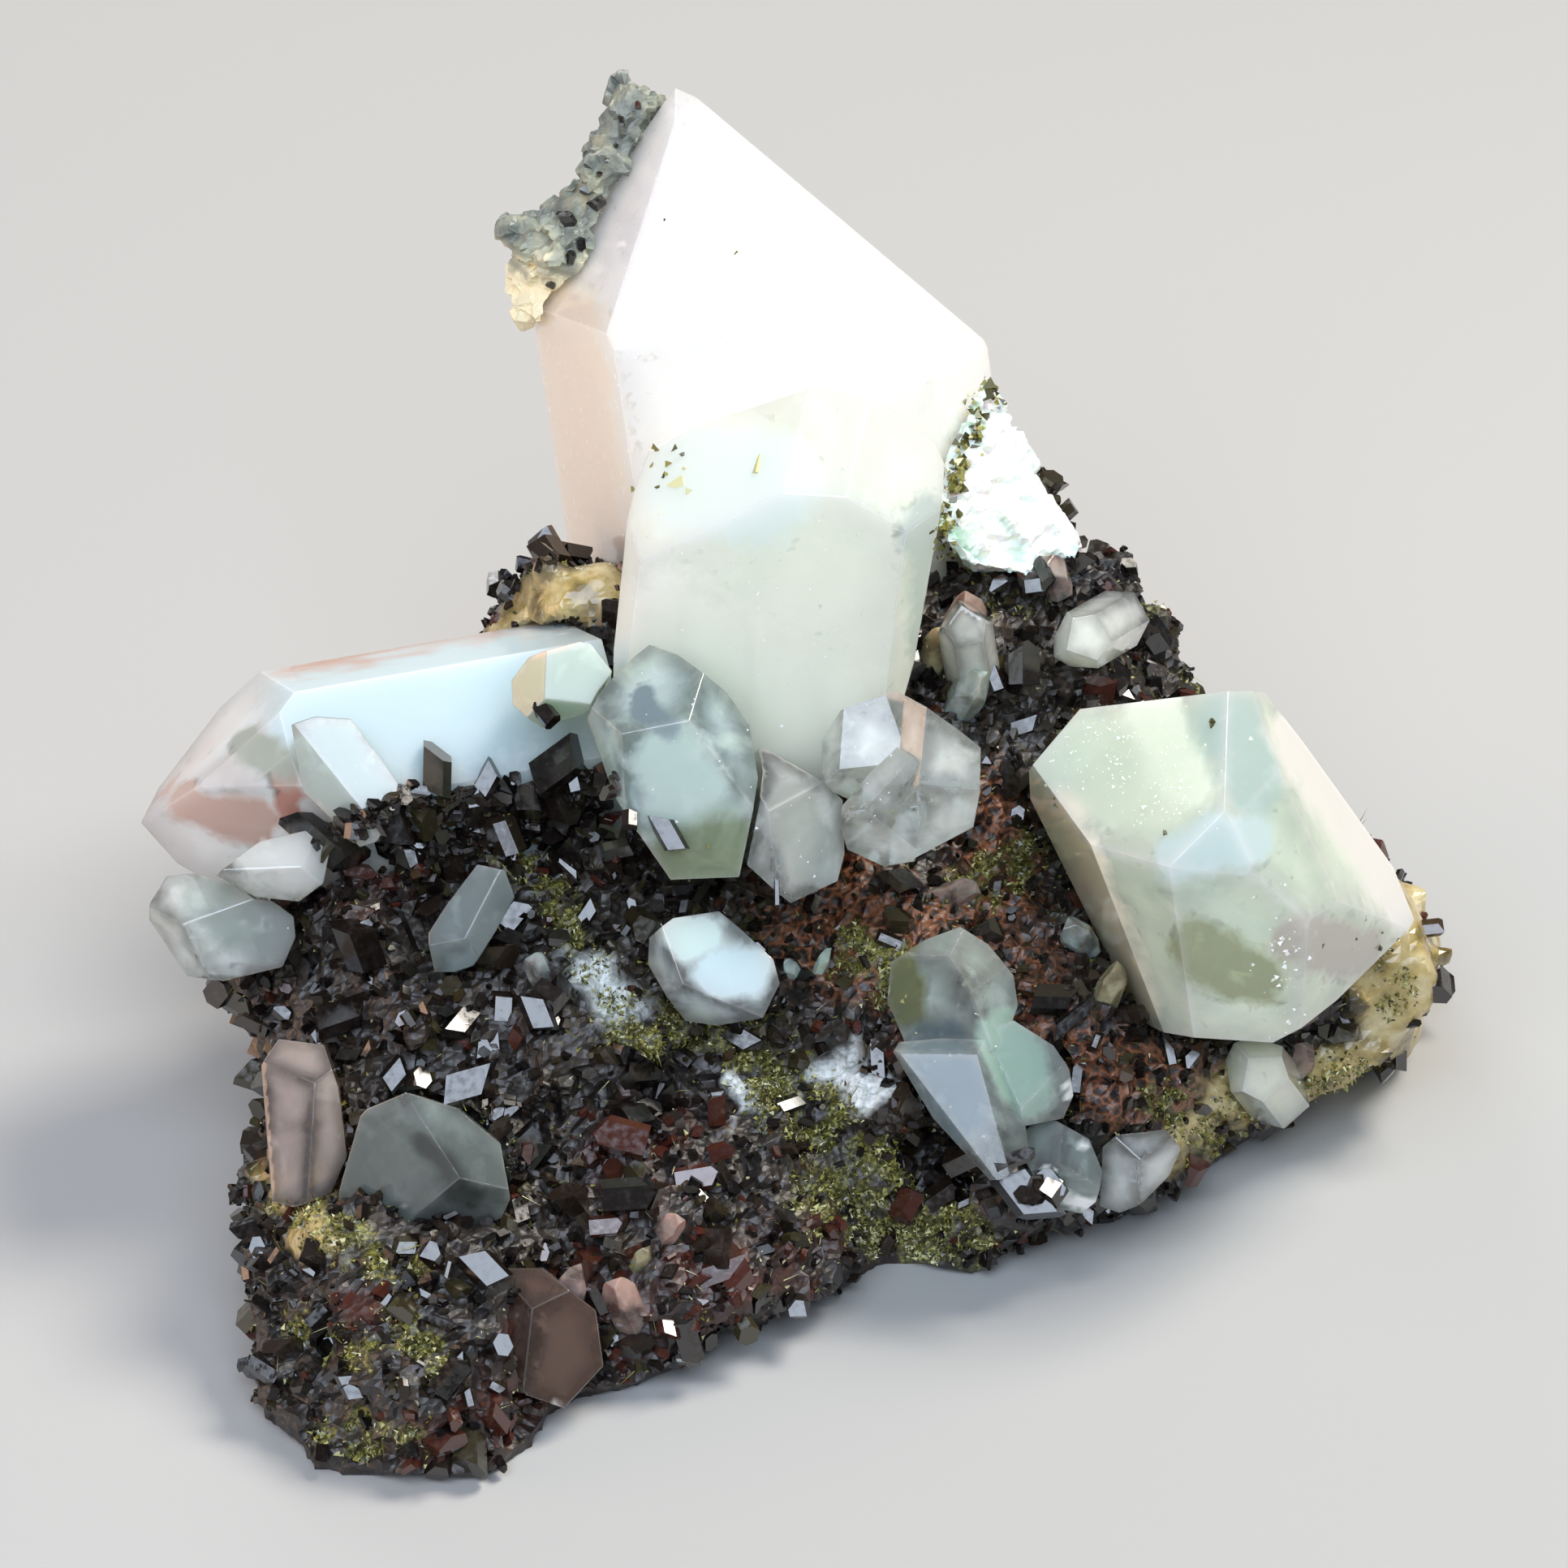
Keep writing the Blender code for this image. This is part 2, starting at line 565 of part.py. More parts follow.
def tree_of(piece):
    """The piece's faces, to find what they meet."""
    bm = bmesh.new()
    bm.from_mesh(piece.data)
    tree = BVHTree.FromBMesh(bm)
    bm.free()
    return tree


def give_way(piece, sockets):
    """Ends the piece against the pieces that were made before it."""
    tree = tree_of(piece)
    boolean(piece, "DIFFERENCE", [socket for socket in sockets.objects if tree.overlap(tree_of(socket))])
    settle(piece)
    keep_largest(piece.data)


def socket_piece(name, crystals, sockets):
    """The space that each crystal takes in the rock, a little larger than the crystal."""
    for number, crystal in enumerate(crystals, 1):
        helper(f"{name}_socket_{number}", lambda bm: cut_crystal(bm, crystal, CRYSTAL_GAP), sockets)


def add_lumps(bm):
    """The overlapping lumps that the rock is fused from, cut by its broken faces."""
    for centre, radii in LUMPS:
        place = Matrix.Translation(Vector(centre) * MM) @ Matrix.Diagonal((*(Vector(radii) * MM), 1))
        bmesh.ops.create_icosphere(bm, subdivisions=4, radius=1, matrix=place)
    for point, facing in BREAKS:
        cut(bm, Vector(point) * MM, Vector(facing).normalized())


def add_crumbs(bm):
    """The overlapping crumbs on the tall crystal's tip."""
    for centre, radius in TIP_CRUMBS:
        place = Matrix.Translation(seen(*centre))
        bmesh.ops.create_icosphere(bm, subdivisions=3, radius=radius * MM, matrix=place)


def add_sight_block(bm):
    """The space that is seen inside the rock's outline: the outline drawn out along the lines of sight."""
    near, far = 40, -80
    rings = []
    for out in (near, far):
        spread = (VIEW_DISTANCE - out) / VIEW_DISTANCE
        rings.append([bm.verts.new(seen(right * spread, up * spread, out)) for right, up in ROCK_OUTLINE])
    loops = [[bm.edges.new((ring[i - 1], ring[i])) for i in range(len(ring))] for ring in rings]
    bmesh.ops.bridge_loops(bm, edges=loops[0] + loops[1])
    for loop in loops:
        bmesh.ops.triangle_fill(bm, edges=loop, use_beauty=True)
    bmesh.ops.recalc_face_normals(bm, faces=bm.faces)


def fuse(piece, grain):
    """Makes one even skin over everything in the piece."""
    step = piece.modifiers.new("fuse", "REMESH")
    step.mode = "VOXEL"
    step.voxel_size = grain * MM
    settle(piece)


def roughen(mesh, grain, height):
    """Moves each point of the rock in or out by an uneven amount."""
    bm = bmesh.new()
    bm.from_mesh(mesh)
    bm.normal_update()
    moves = [
        vert.normal * height * MM * noise.turbulence(vert.co / (grain * MM), 3, False)
        for vert in bm.verts
    ]
    for vert, move in zip(bm.verts, moves):
        vert.co += move
    bm.to_mesh(mesh)
    bm.free()


def flat_base(mesh):
    """Cuts the rock flat where it stands."""
    bm = bmesh.new()
    bm.from_mesh(mesh)
    cut(bm, Vector((0, 0, 0)), Vector((0, 0, -1)))
    bm.to_mesh(mesh)
    bm.free()


def press_flat(mesh):
    """Brings points that thinning has lifted off the base back to the floor."""
    for vert in mesh.vertices:
        if vert.co.z < BASE_SLACK * MM:
            vert.co.z = 0


def keep_largest(mesh):
    """Removes chips that the sockets cut loose from the rock."""
    bm = bmesh.new()
    bm.from_mesh(mesh)
    left, bodies = set(bm.verts), []
    while left:
        body, front = set(), [next(iter(left))]
        while front:
            vert = front.pop()
            if vert not in body:
                body.add(vert)
                front.extend(edge.other_vert(vert) for edge in vert.link_edges)
        bodies.append(body)
        left -= body
    chips = [vert for body in sorted(bodies, key=len)[:-1] for vert in body]
    bmesh.ops.delete(bm, geom=chips, context="VERTS")
    bm.to_mesh(mesh)
    bm.free()


def cut_epidote(bm, place, length, width):
    """One stout epidote crystal along the place's Z: a flattened prism with slanting ends."""
    bmesh.ops.create_cube(bm, size=3 * length * MM)
    for angle, reach in ((0, 0.5), (62, 0.46), (115, 0.36), (180, 0.5), (242, 0.46), (295, 0.36)):
        across = Vector((math.cos(math.radians(angle)), math.sin(math.radians(angle)), 0))
        cut(bm, across * reach * width * MM, across)
    for lean in (-1, 1):
        slanting = Vector((lean * 0.45, 0.2, 0.87)).normalized()
        cut(bm, Vector((0, 0, length * MM / 2)), slanting)
    cut(bm, Vector((0, 0, -length * MM / 2)), Vector((0, 0, -1)))
    bmesh.ops.transform(bm, matrix=place, verts=bm.verts)


def epidote_places(surface, faces, areas):
    """Where the fused epidote crystals stand: the place, length and width of each."""
    eye = seen(0, 0, VIEW_DISTANCE)
    across, upward, outward = view_axes()
    for spot, length, width, (right, up) in EPIDOTE_LARGE:
        place = surface.ray_cast(eye, (seen(*spot, 0) - eye).normalized())[0]
        axis = (across * right + upward * up + outward * 0.7).normalized()
        yield place, axis, 0, length, width
    dice = random.Random(EPIDOTE_SEED)
    made = 0
    while made < EPIDOTE_COUNT:
        place, normal = dice.choices(faces, areas)[0]
        if place.z > EPIDOTE_LOWEST * MM:
            made += 1
            axis = (normal + Vector([dice.uniform(-0.8, 0.8) for _ in range(3)])).normalized()
            length = dice.uniform(*EPIDOTE_LENGTH)
            yield place, axis, dice.uniform(0, math.tau), length, length * dice.uniform(*EPIDOTE_STOUTNESS)


def add_epidote(rock, helpers):
    """Epidote crystals set into the rock's surface."""
    bm = bmesh.new()
    bm.from_mesh(rock.data)
    surface = BVHTree.FromBMesh(bm)
    faces = [(face.calc_center_median(), face.normal.copy()) for face in bm.faces]
    areas = [face.calc_area() for face in bm.faces]
    bm.free()
    for number, (place, axis, turn, length, width) in enumerate(epidote_places(surface, faces, areas), 1):
        upright = axis.to_track_quat("Z", "Y").to_matrix().to_4x4()
        spot = Matrix.Translation(place) @ upright @ Matrix.Rotation(turn, 4, "Z")
        helper(f"epidote_{number}", lambda bm: cut_epidote(bm, spot, length, width), helpers)


def crumbs_piece(collection):
    """The crumbs of epidote rock on the tall crystal's tip."""
    piece = new_object("tip_epidote", add_crumbs, collection)
    fuse(piece, CRUMB_GRAIN)
    roughen(piece.data, *CRUMB_ROUGHNESS)
    thin(piece, CRUMB_TRIANGLES)
    boolean(piece, "DIFFERENCE", [bpy.data.objects["tall_quartz_socket_1"]])
    settle(piece)
    keep_largest(piece.data)
    return piece


def thin(piece, triangles):
    """Leaves about this many triangles in the piece."""
    piece.data.calc_loop_triangles()
    step = piece.modifiers.new("thin", "DECIMATE")
    step.ratio = triangles / len(piece.data.loop_triangles)
    settle(piece)


def rock_piece(collection, sights, epidotes, sockets):
    """The epidote rock: fused lumps, roughened, trimmed to the outline, with crystals and sockets."""
    rock = new_object("epidote_matrix", add_lumps, collection)
    fuse(rock, ROCK_GRAIN)
    roughen(rock.data, *COARSE_ROUGHNESS)
    boolean(rock, "INTERSECT", [helper("sight_block", add_sight_block, sights)])
    fuse(rock, ROCK_GRAIN)
    roughen(rock.data, *FINE_ROUGHNESS)
    flat_base(rock.data)
    thin(rock, ROCK_TRIANGLES)
    press_flat(rock.data)
    add_epidote(rock, epidotes)
    boolean(rock, "UNION", epidotes.objects)
    boolean(rock, "DIFFERENCE", sockets.objects)
    settle(rock)
    keep_largest(rock.data)
    return rock


def clear_scene():
    for item in list(bpy.data.objects):
        bpy.data.objects.remove(item)


def new_collection(name):
    made = bpy.data.collections.new(name)
    bpy.context.scene.collection.children.link(made)
    return made


def main():
    clear_scene()
    specimen = new_collection(SPECIMEN)
    helpers = new_collection("joined_crystals")
    sights = new_collection("trims")
    epidotes = new_collection("epidote_crystals")
    sockets = new_collection("sockets")
    for name, (stone, crystals) in QUARTZ.items():
        piece = quartz_piece(name, crystals, specimen, helpers)
        give_way(piece, sockets)
        piece.data.materials.clear()
        piece.data.materials.append(material(name, stone))
        socket_piece(name, crystals, sockets)
    for rock in (crumbs_piece(specimen), rock_piece(specimen, sights, epidotes, sockets)):
        rock.data.materials.clear()
        rock.data.materials.append(material(rock.name, ROCK))


if __name__ == "__main__":
    main()
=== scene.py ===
"""Epidote with quartz: the looks of a mineral specimen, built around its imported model.

Metres, +Z up, the front towards -Y. Places on the front are given as they are seen from 30 degrees
above level: millimetres to the right of the view's middle and up from it.
"""

import math
import random

import bmesh
import bpy
import numpy as np
from mathutils import Matrix, Vector, noise
from mathutils.bvhtree import BVHTree


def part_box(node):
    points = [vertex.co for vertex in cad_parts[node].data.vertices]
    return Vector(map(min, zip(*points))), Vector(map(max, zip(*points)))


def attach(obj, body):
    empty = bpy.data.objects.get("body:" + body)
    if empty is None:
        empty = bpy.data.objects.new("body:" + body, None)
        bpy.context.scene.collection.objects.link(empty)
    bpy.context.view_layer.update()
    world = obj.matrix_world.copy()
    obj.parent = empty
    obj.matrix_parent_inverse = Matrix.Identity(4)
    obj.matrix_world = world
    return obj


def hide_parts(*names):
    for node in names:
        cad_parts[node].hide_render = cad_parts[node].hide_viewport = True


bl_info = {
    "name": "Epidote with quartz",
    "version": (1, 0, 0),
    "blender": (4, 5, 0),
    "location": "View3D > Sidebar > Specimen",
    "description": "Builds quartz crystals in dark epidote rock, with its stage",
    "category": "Object",
}

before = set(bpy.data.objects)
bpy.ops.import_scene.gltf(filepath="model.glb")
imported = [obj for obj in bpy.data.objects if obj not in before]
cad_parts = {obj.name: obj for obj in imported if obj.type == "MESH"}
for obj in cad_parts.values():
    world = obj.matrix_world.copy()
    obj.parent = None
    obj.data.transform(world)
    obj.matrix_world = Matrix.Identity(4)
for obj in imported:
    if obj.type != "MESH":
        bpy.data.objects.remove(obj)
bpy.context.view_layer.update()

MM = 0.001

# The view that places on the front refer to.
VIEW_ABOVE = math.radians(30)
VIEW_CENTRE = Vector((-0.001, -0.007, 0.0257))
VIEW_DISTANCE = 300 * MM
VIEW_SPAN = 86.94 * MM
VIEW_OUT = Vector((0, -math.cos(VIEW_ABOVE), math.sin(VIEW_ABOVE)))
VIEW_UP = Vector((0, math.sin(VIEW_ABOVE), math.cos(VIEW_ABOVE)))
SENSOR = 36

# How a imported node's loose triangles become flat faces again.
MERGE = 1e-6
FLAT_ANGLE = math.radians(0.6)

QUARTZ_IOR = 1.544
EPIDOTE_IOR = 1.75

# Edges this near to one direction count as parallel.
PARALLEL = 0.998
ROCK_MIDDLE = sum((Vector(corner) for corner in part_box("epidote_matrix")), Vector()) / 2


def linear(code):
    """The linear colour of an sRGB hex code, as Blender's sockets take it."""
    parts = [int(code[i : i + 2], 16) / 255 for i in (1, 3, 5)]
    return (*[c / 12.92 if c <= 0.04045 else ((c + 0.055) / 1.055) ** 2.4 for c in parts], 1.0)


def pictured(point):
    """Where the view shows a point: millimetres to the right of its middle and up."""
    offset = point - VIEW_CENTRE
    scale = VIEW_DISTANCE / (VIEW_DISTANCE - offset.dot(VIEW_OUT)) / MM
    return offset.x * scale, offset.dot(VIEW_UP) * scale


def band_weight(spot, bands):
    """1 inside one of the bands and 0 well outside them all. A band is two ends and a radius."""
    best = 0.0
    for (ax, ay), (bx, by), radius in bands:
        dx, dy = bx - ax, by - ay
        share = ((spot[0] - ax) * dx + (spot[1] - ay) * dy) / max(dx * dx + dy * dy, 1e-9)
        share = min(max(share, 0.0), 1.0)
        away = math.hypot(spot[0] - ax - share * dx, spot[1] - ay - share * dy)
        best = max(best, min(max(1.6 - away / radius, 0.0), 1.0))
    return best


def node(tree, kind, values=None, ramp=None, **settings):
    """Adds a node. Settings are its properties, values its inputs: plain, or another node's output."""
    made = tree.nodes.new(kind)
    for name, value in settings.items():
        setattr(made, name, value)
    for key, value in (values or {}).items():
        if isinstance(value, bpy.types.NodeSocket):
            tree.links.new(value, made.inputs[key])
        else:
            made.inputs[key].default_value = value
    if ramp:
        steps = made.color_ramp.elements
        while len(steps) < len(ramp):
            steps.new(0.5)
        for step, (place, colour) in zip(steps, ramp):
            step.position = place
            step.color = colour
    return made


def new_material(name):
    """A material with a bare Principled shader on its surface."""
    made = bpy.data.materials.new(name)
    made.use_nodes = True
    return made, made.node_tree, made.node_tree.nodes["Principled BSDF"]


def new_piece(name, bm, material, slot, *nodes):
    """Turns a bmesh into a finished piece that rides on the specimen."""
    mesh = bpy.data.meshes.new(name)
    bm.to_mesh(mesh)
    bm.free()
    return dress(bpy.data.objects.new(name, mesh), material, slot, *nodes)


def dress(piece, material, slot, *nodes):
    bpy.context.scene.collection.objects.link(piece)
    piece.data.materials.clear()
    piece.data.materials.append(material)
    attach(piece, "root")
    if nodes:
        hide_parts(*nodes)
    return piece


def node_copy(name):
    """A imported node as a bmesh, its loose triangles merged into flat faces."""
    bm = bmesh.new()
    bm.from_mesh(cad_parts[name].data)
    bmesh.ops.remove_doubles(bm, verts=bm.verts, dist=MERGE)
    bmesh.ops.dissolve_limit(bm, angle_limit=FLAT_ANGLE, verts=bm.verts, edges=bm.edges)
    return bm


def growth_axis(bm):
    """The way that a crystal grows: along its longest parallel edges, away from the rock's middle."""
    edges = [(edge.verts[1].co - edge.verts[0].co) for edge in bm.edges]
    best, axis = 0.0, Vector((0, 0, 1))
    for guess in edges:
        way = guess.normalized()
        total = sum(edge.length for edge in edges if abs(edge.normalized().dot(way)) > PARALLEL)
        if total > best:
            best, axis = total, way
    middle = sum((vert.co for vert in bm.verts), Vector()) / len(bm.verts)
    return axis if axis.dot(middle - ROCK_MIDDLE) > 0 else -axis


def cut_small(bm, longest):
    """Cuts the faces into triangles with no edge over this length, so that they can hold marks."""
    for _ in range(8):
        bmesh.ops.triangulate(bm, faces=[face for face in bm.faces if len(face.verts) > 3])
        edges = [edge for edge in bm.edges if edge.calc_length() > longest]
        if not edges:
            return
        bmesh.ops.subdivide_edges(bm, edges=edges, cuts=1)
    bmesh.ops.triangulate(bm, faces=bm.faces[:])


def edge_distances(points, edges):
    """Each point's distance from the nearest edge, as arrays of points and of edge ends."""
    starts, ways = edges[:, 0], edges[:, 1] - edges[:, 0]
    shares = ((points[:, None] - starts) * ways).sum(2) / (ways**2).sum(1)
    nearest = starts + np.clip(shares, 0, 1)[:, :, None] * ways
    return np.linalg.norm(points[:, None] - nearest, axis=2).min(1)


def eased(values, low, high):
    """Runs smoothly from 0 at low to 1 at high."""
    shares = np.clip((values - low) / (high - low), 0, 1)
    return shares * shares * (3 - 2 * shares)


def mark_crystal(mesh, axis, edges, rock, tints):
    """Stores what a crystal's material reads at each point.

    grown is its place in the crystal's own frame in millimetres, rise how far up the crystal it is,
    core how far from an edge, chip whether it is on one, buried whether it is in the rock, tint a
    colour and its strength, and milk_and_painted_light how cloudy the tint is. Most tints are the
    stone's own colours; some are painted light: painted reflections, a painted highlight and painted shade.
    """
    points = np.array([tuple(vert.co) for vert in mesh.vertices])
    turn = np.array(axis.to_track_quat("Z", "Y").to_matrix().inverted())
    grown = points @ turn.T / MM
    low, high = grown.min(0), grown.max(0)
    rim = min(max(min(high[:2] - low[:2]) * 0.22, 0.6), 3.0)
    away = edge_distances(points, edges) / MM
    sunk = []
    for vert in mesh.vertices:
        place, normal, _, _ = rock.find_nearest(vert.co, 3 * MM)
        sunk.append((place - vert.co).dot(normal) / MM if place else -1)
    values = {
        "rise": (grown[:, 2] - low[2]) / (high[2] - low[2]),
        "core": eased(away, 0, rim),
        # Worn edges, later lightened: partly real chipping, partly a painted highlight.
        "chip": 1 - eased(away, 0.02, 0.08),
        "buried": eased(np.array(sunk), 0.0, 0.25),
        "milk_and_painted_light": [],
    }
    colours = []
    for vert in mesh.vertices:
        blur = noise.noise_vector(vert.co / (1.6 * MM)) * 0.6
        spot = pictured(vert.co)
        spot = (spot[0] + blur.x, spot[1] + blur.y)
        colour, milk_and_painted_light = Vector((0, 0, 0, 0)), 0.0
        shown = eased(vert.normal.dot(VIEW_OUT), -0.2, 0.3)
        for code, cloudy, start, end, radius in tints:
            weight = band_weight(spot, ((start, end, radius),)) * shown
            if weight:
                strength = max(colour.w, weight)
                colour = colour.lerp(Vector(linear(code)), weight / strength)
                colour.w = strength
                milk_and_painted_light += (cloudy - milk_and_painted_light) * weight / strength
        colours.extend(colour)
        values["milk_and_painted_light"].append(milk_and_painted_light)
    mesh.attributes.new("grown", "FLOAT_VECTOR", "POINT").data.foreach_set("vector", grown.ravel())
    mesh.attributes.new("tint", "FLOAT_COLOR", "POINT").data.foreach_set("color", colours)
    for name, numbers in values.items():
        mesh.attributes.new(name, "FLOAT", "POINT").data.foreach_set("value", np.array(numbers, np.float32))


# Where the front shows what, in millimetres of the view: two ends of a band and its radius.
MOSS = (
    ((-20.1, -1.5), (-16.5, -2.4), 0.9),
    ((-16.5, -2.4), (-12.4, -6.5), 1.1),
    ((-12.4, -6.5), (-9.3, -12.8), 1.1),
    ((-9.3, -12.8), (-1.2, -14.6), 1.3),
    ((-1.2, -14.6), (3.8, -21.3), 2.0),
    ((3.8, -21.3), (9.6, -25.4), 2.1),
    ((1.5, -23.1), (9.9, -26.3), 1.6),
    ((-12.9, 3.4), (-11.1, 3.0), 0.9),
    ((-27.0, -23.4), (-21.0, -26.7), 1.0),
    ((-26.7, -30.0), (-22.3, -31.8), 0.9),
    ((-20.6, -29.4), (-18.9, -31.9), 0.9),
    ((-25.5, -35.3), (-20.1, -36.6), 0.9),
    ((10.5, -5.6), (13.2, -4.2), 1.2),
    ((4.2, -9.2), (8.3, -11.9), 1.5),
    ((11.4, 10.2), (15.0, 9.7), 0.9),
    ((18.6, 7.9), (22.7, 6.1), 1.0),
    ((32.6, -8.7), (34.2, -12.0), 0.9),
    ((24.9, -17.7), (30.8, -15.5), 1.2),
    ((21.3, -17.3), (23.1, -19.5), 1.0),
)
RUST = (
    ((2.4, -6.9), (12.0, -12.0), 3.6),
    ((11.4, -1.5), (11.8, -6.0), 2.4),
    ((13.5, -14.0), (21.0, -17.5), 2.6),
    ((1.5, -3.8), (3.0, -4.5), 1.8),
)
RED = (
    ((-6.0, -19.5), (-9.0, -21.0), 2.6),
    ((-14.0, -31.0), (-0.7, -26.7), 2.6),
    ((-23.7, -28.8), (-23.0, -29.0), 1.4),
    ((-26.0, -5.2), (-22.0, -5.6), 1.6),
    ((-20.0, -36.8), (-14.0, -33.8), 1.6),
    ((2.0, -24.6), (8.0, -26.8), 1.2),
)
PALE = (
    ((-10.9, -10.8), (-9.6, -12.0), 1.5),
    ((2.6, -15.8), (4.4, -16.8), 1.2),
    ((-3.0, -17.2), (-2.0, -17.8), 0.9),
)
OCHRE = (
    ((-17.0, 9.4), (-10.0, 11.4), 1.8),
    ((34.4, -7.0), (35.6, -13.4), 3.4),
    ((24.5, -17.6), (31.5, -15.8), 1.5),
    ((-27.4, -22.0), (-26.4, -24.6), 1.3),
    ((20.4, -20.6), (23.0, -19.4), 1.0),
)
STAINS = {"rust": RUST, "red": RED, "moss": MOSS, "pale": PALE, "ochre": OCHRE}


class RockSettings(bpy.types.PropertyGroup):
    """The epidote rock's own shape and colours."""

    grain: bpy.props.FloatProperty(
        name="Skin grain", description="How fine the rock's skin is", default=0.5 * MM, min=0.3 * MM, unit="LENGTH"
    )
    dark: bpy.props.FloatVectorProperty(
        name="Rock", description="Colour of the fine dark rock", default=linear("#241C17"), size=4, subtype="COLOR"
    )
    rust: bpy.props.FloatVectorProperty(
        name="Rust", description="Colour of the limonite stains", default=linear("#8C5634"), size=4, subtype="COLOR"
    )
    moss: bpy.props.FloatVectorProperty(
        name="Granular epidote", description="Colour of the yellow-green grains", default=linear("#625F2A"), size=4,
        subtype="COLOR",
    )
    ochre: bpy.props.FloatVectorProperty(
        name="Ochre crust", description="Colour of the translucent yellowish crust", default=linear("#B9A469"), size=4,
        subtype="COLOR",
    )


class EpidoteSettings(bpy.types.PropertyGroup):
    """How many epidote crystals stand on the rock, and their size."""

    seed: bpy.props.IntProperty(name="Seed", description="Which of the chance layouts is used", default=5)
    large: bpy.props.IntProperty(name="Large crystals", description="Crystals over a millimetre", default=2000)
    small: bpy.props.IntProperty(name="Small crystals", description="Crystals under a millimetre", default=7500)
    grains: bpy.props.IntProperty(name="Grains", description="Yellow-green grains and needles", default=36000)
    grain_length: bpy.props.FloatProperty(
        name="Grain length", description="Usual length of a grain or needle", default=0.24 * MM, unit="LENGTH"
    )
    large_length: bpy.props.FloatProperty(
        name="Large length", description="Usual length of a large crystal", default=1.35 * MM, unit="LENGTH"
    )
    small_length: bpy.props.FloatProperty(
        name="Small length", description="Usual length of a small crystal", default=0.6 * MM, unit="LENGTH"
    )
    dark: bpy.props.FloatVectorProperty(
        name="Dark epidote", description="Colour of most crystals", default=linear("#1B1512"), size=4, subtype="COLOR"
    )
    red: bpy.props.FloatVectorProperty(
        name="Stained epidote", description="Colour of the red-brown ones", default=linear("#4C241B"), size=4,
        subtype="COLOR",
    )


class QuartzSettings(bpy.types.PropertyGroup):
    """The quartz crystals' edges and colours."""

    edge: bpy.props.FloatProperty(
        name="Edge wear", description="Width of the worn edges", default=0.07 * MM, min=0.02 * MM, unit="LENGTH"
    )
    milky: bpy.props.FloatVectorProperty(
        name="Milky quartz", description="Colour of the milky crystals", default=linear("#FFFDF7"), size=4,
        subtype="COLOR",
    )
    green: bpy.props.FloatVectorProperty(
        name="Pale green quartz", description="Colour of the greenish crystals", default=linear("#F0F7E4"), size=4,
        subtype="COLOR",
    )
    blue: bpy.props.FloatVectorProperty(
        name="Blue-green quartz", description="Colour of the bluish crystals", default=linear("#DCEBEE"), size=4,
        subtype="COLOR",
    )


QUARTZ_NODES = sorted(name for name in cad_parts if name.endswith("quartz") or "_quartz_" in name)
TOUCH = 0.45 * MM
FOOT_DEPTH = 0.7 * MM
SAMPLES = 900


def quartz_tree():
    """All quartz crystals as one search tree."""
    bm = bmesh.new()
    for name in QUARTZ_NODES:
        bm.from_mesh(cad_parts[name].data)
    tree = BVHTree.FromBMesh(bm)
    bm.free()
    return tree


def touching_points(bm, rock, dice):
    """Points on a crystal that lie against the rock, with the way each faces."""
    faces = bm.faces[:]
    areas = [face.calc_area() for face in faces]
    found = []
    for face in dice.choices(faces, areas, k=SAMPLES):
        corners = [vert.co for vert in face.verts]
        weights = [dice.expovariate(1) for _ in corners]
        spot = sum((co * weight for co, weight in zip(corners, weights)), Vector()) / sum(weights)
        place, _, _, away = rock.find_nearest(spot)
        if place is not None and away < TOUCH:
            found.append((spot, face.normal.copy()))
    return found


def foot_of(name, rock, dice):
    """The part of a crystal that sits in the rock, or None for a crystal that hardly touches it."""
    bm = node_copy(name)
    found = touching_points(bm, rock, dice)
    way = sum((normal for _, normal in found), Vector())
    if len(found) < 12 or way.length < 0.05 * len(found):
        bm.free()
        return None
    way.normalize()
    depths = sorted(spot.dot(way) for spot, _ in found)
    level = depths[len(depths) // 4] + FOOT_DEPTH
    whole = bm.verts[:] + bm.edges[:] + bm.faces[:]
    sliced = bmesh.ops.bisect_plane(bm, geom=whole, plane_co=way * level, plane_no=-way, clear_outer=True)
    rim = [item for item in sliced["geom_cut"] if isinstance(item, bmesh.types.BMEdge)]
    bmesh.ops.edgeloop_fill(bm, edges=rim)
    if not bm.faces:
        bm.free()
        return None
    return bm


def fused(bm, grain):
    """One even skin, this fine, over everything in a bmesh."""
    mesh = bpy.data.meshes.new("scratch")
    bm.to_mesh(mesh)
    bm.free()
    source = bpy.data.objects.new("scratch", mesh)
    bpy.context.scene.collection.objects.link(source)
    step = source.modifiers.new("fuse", "REMESH")
    step.mode = "VOXEL"
    step.voxel_size = grain
    graph = bpy.context.evaluated_depsgraph_get()
    skin = bmesh.new()
    skin.from_object(source, graph)
    bpy.data.objects.remove(source)
    bpy.data.meshes.remove(mesh)
    skin.normal_update()
    return skin


def push(bm, height):
    """Moves every point outwards by its height, and keeps them all above the floor."""
    moves = [vert.normal * height(vert.co) for vert in bm.verts]
    for vert, move in zip(bm.verts, moves):
        if vert.co.z > 0.8 * MM:
            vert.co += move
        vert.co.z = max(vert.co.z, 0)


def rock_height(place):
    """How far the rough skin stands out at a place: slow swells, and small blocky steps but for the crust."""
    swell = noise.noise(place / (3.5 * MM)) * 0.45
    spots = noise.voronoi(place / (1.3 * MM))[1]
    block = (noise.cell(spots[0] * 7.3) - 0.5) * 0.5
    fine = noise.noise(place / (0.9 * MM)) * 0.12
    smooth = band_weight(pictured(place), OCHRE)
    return (swell * (1 - 0.5 * smooth) + (block + fine) * (1 - 0.95 * smooth)) * MM


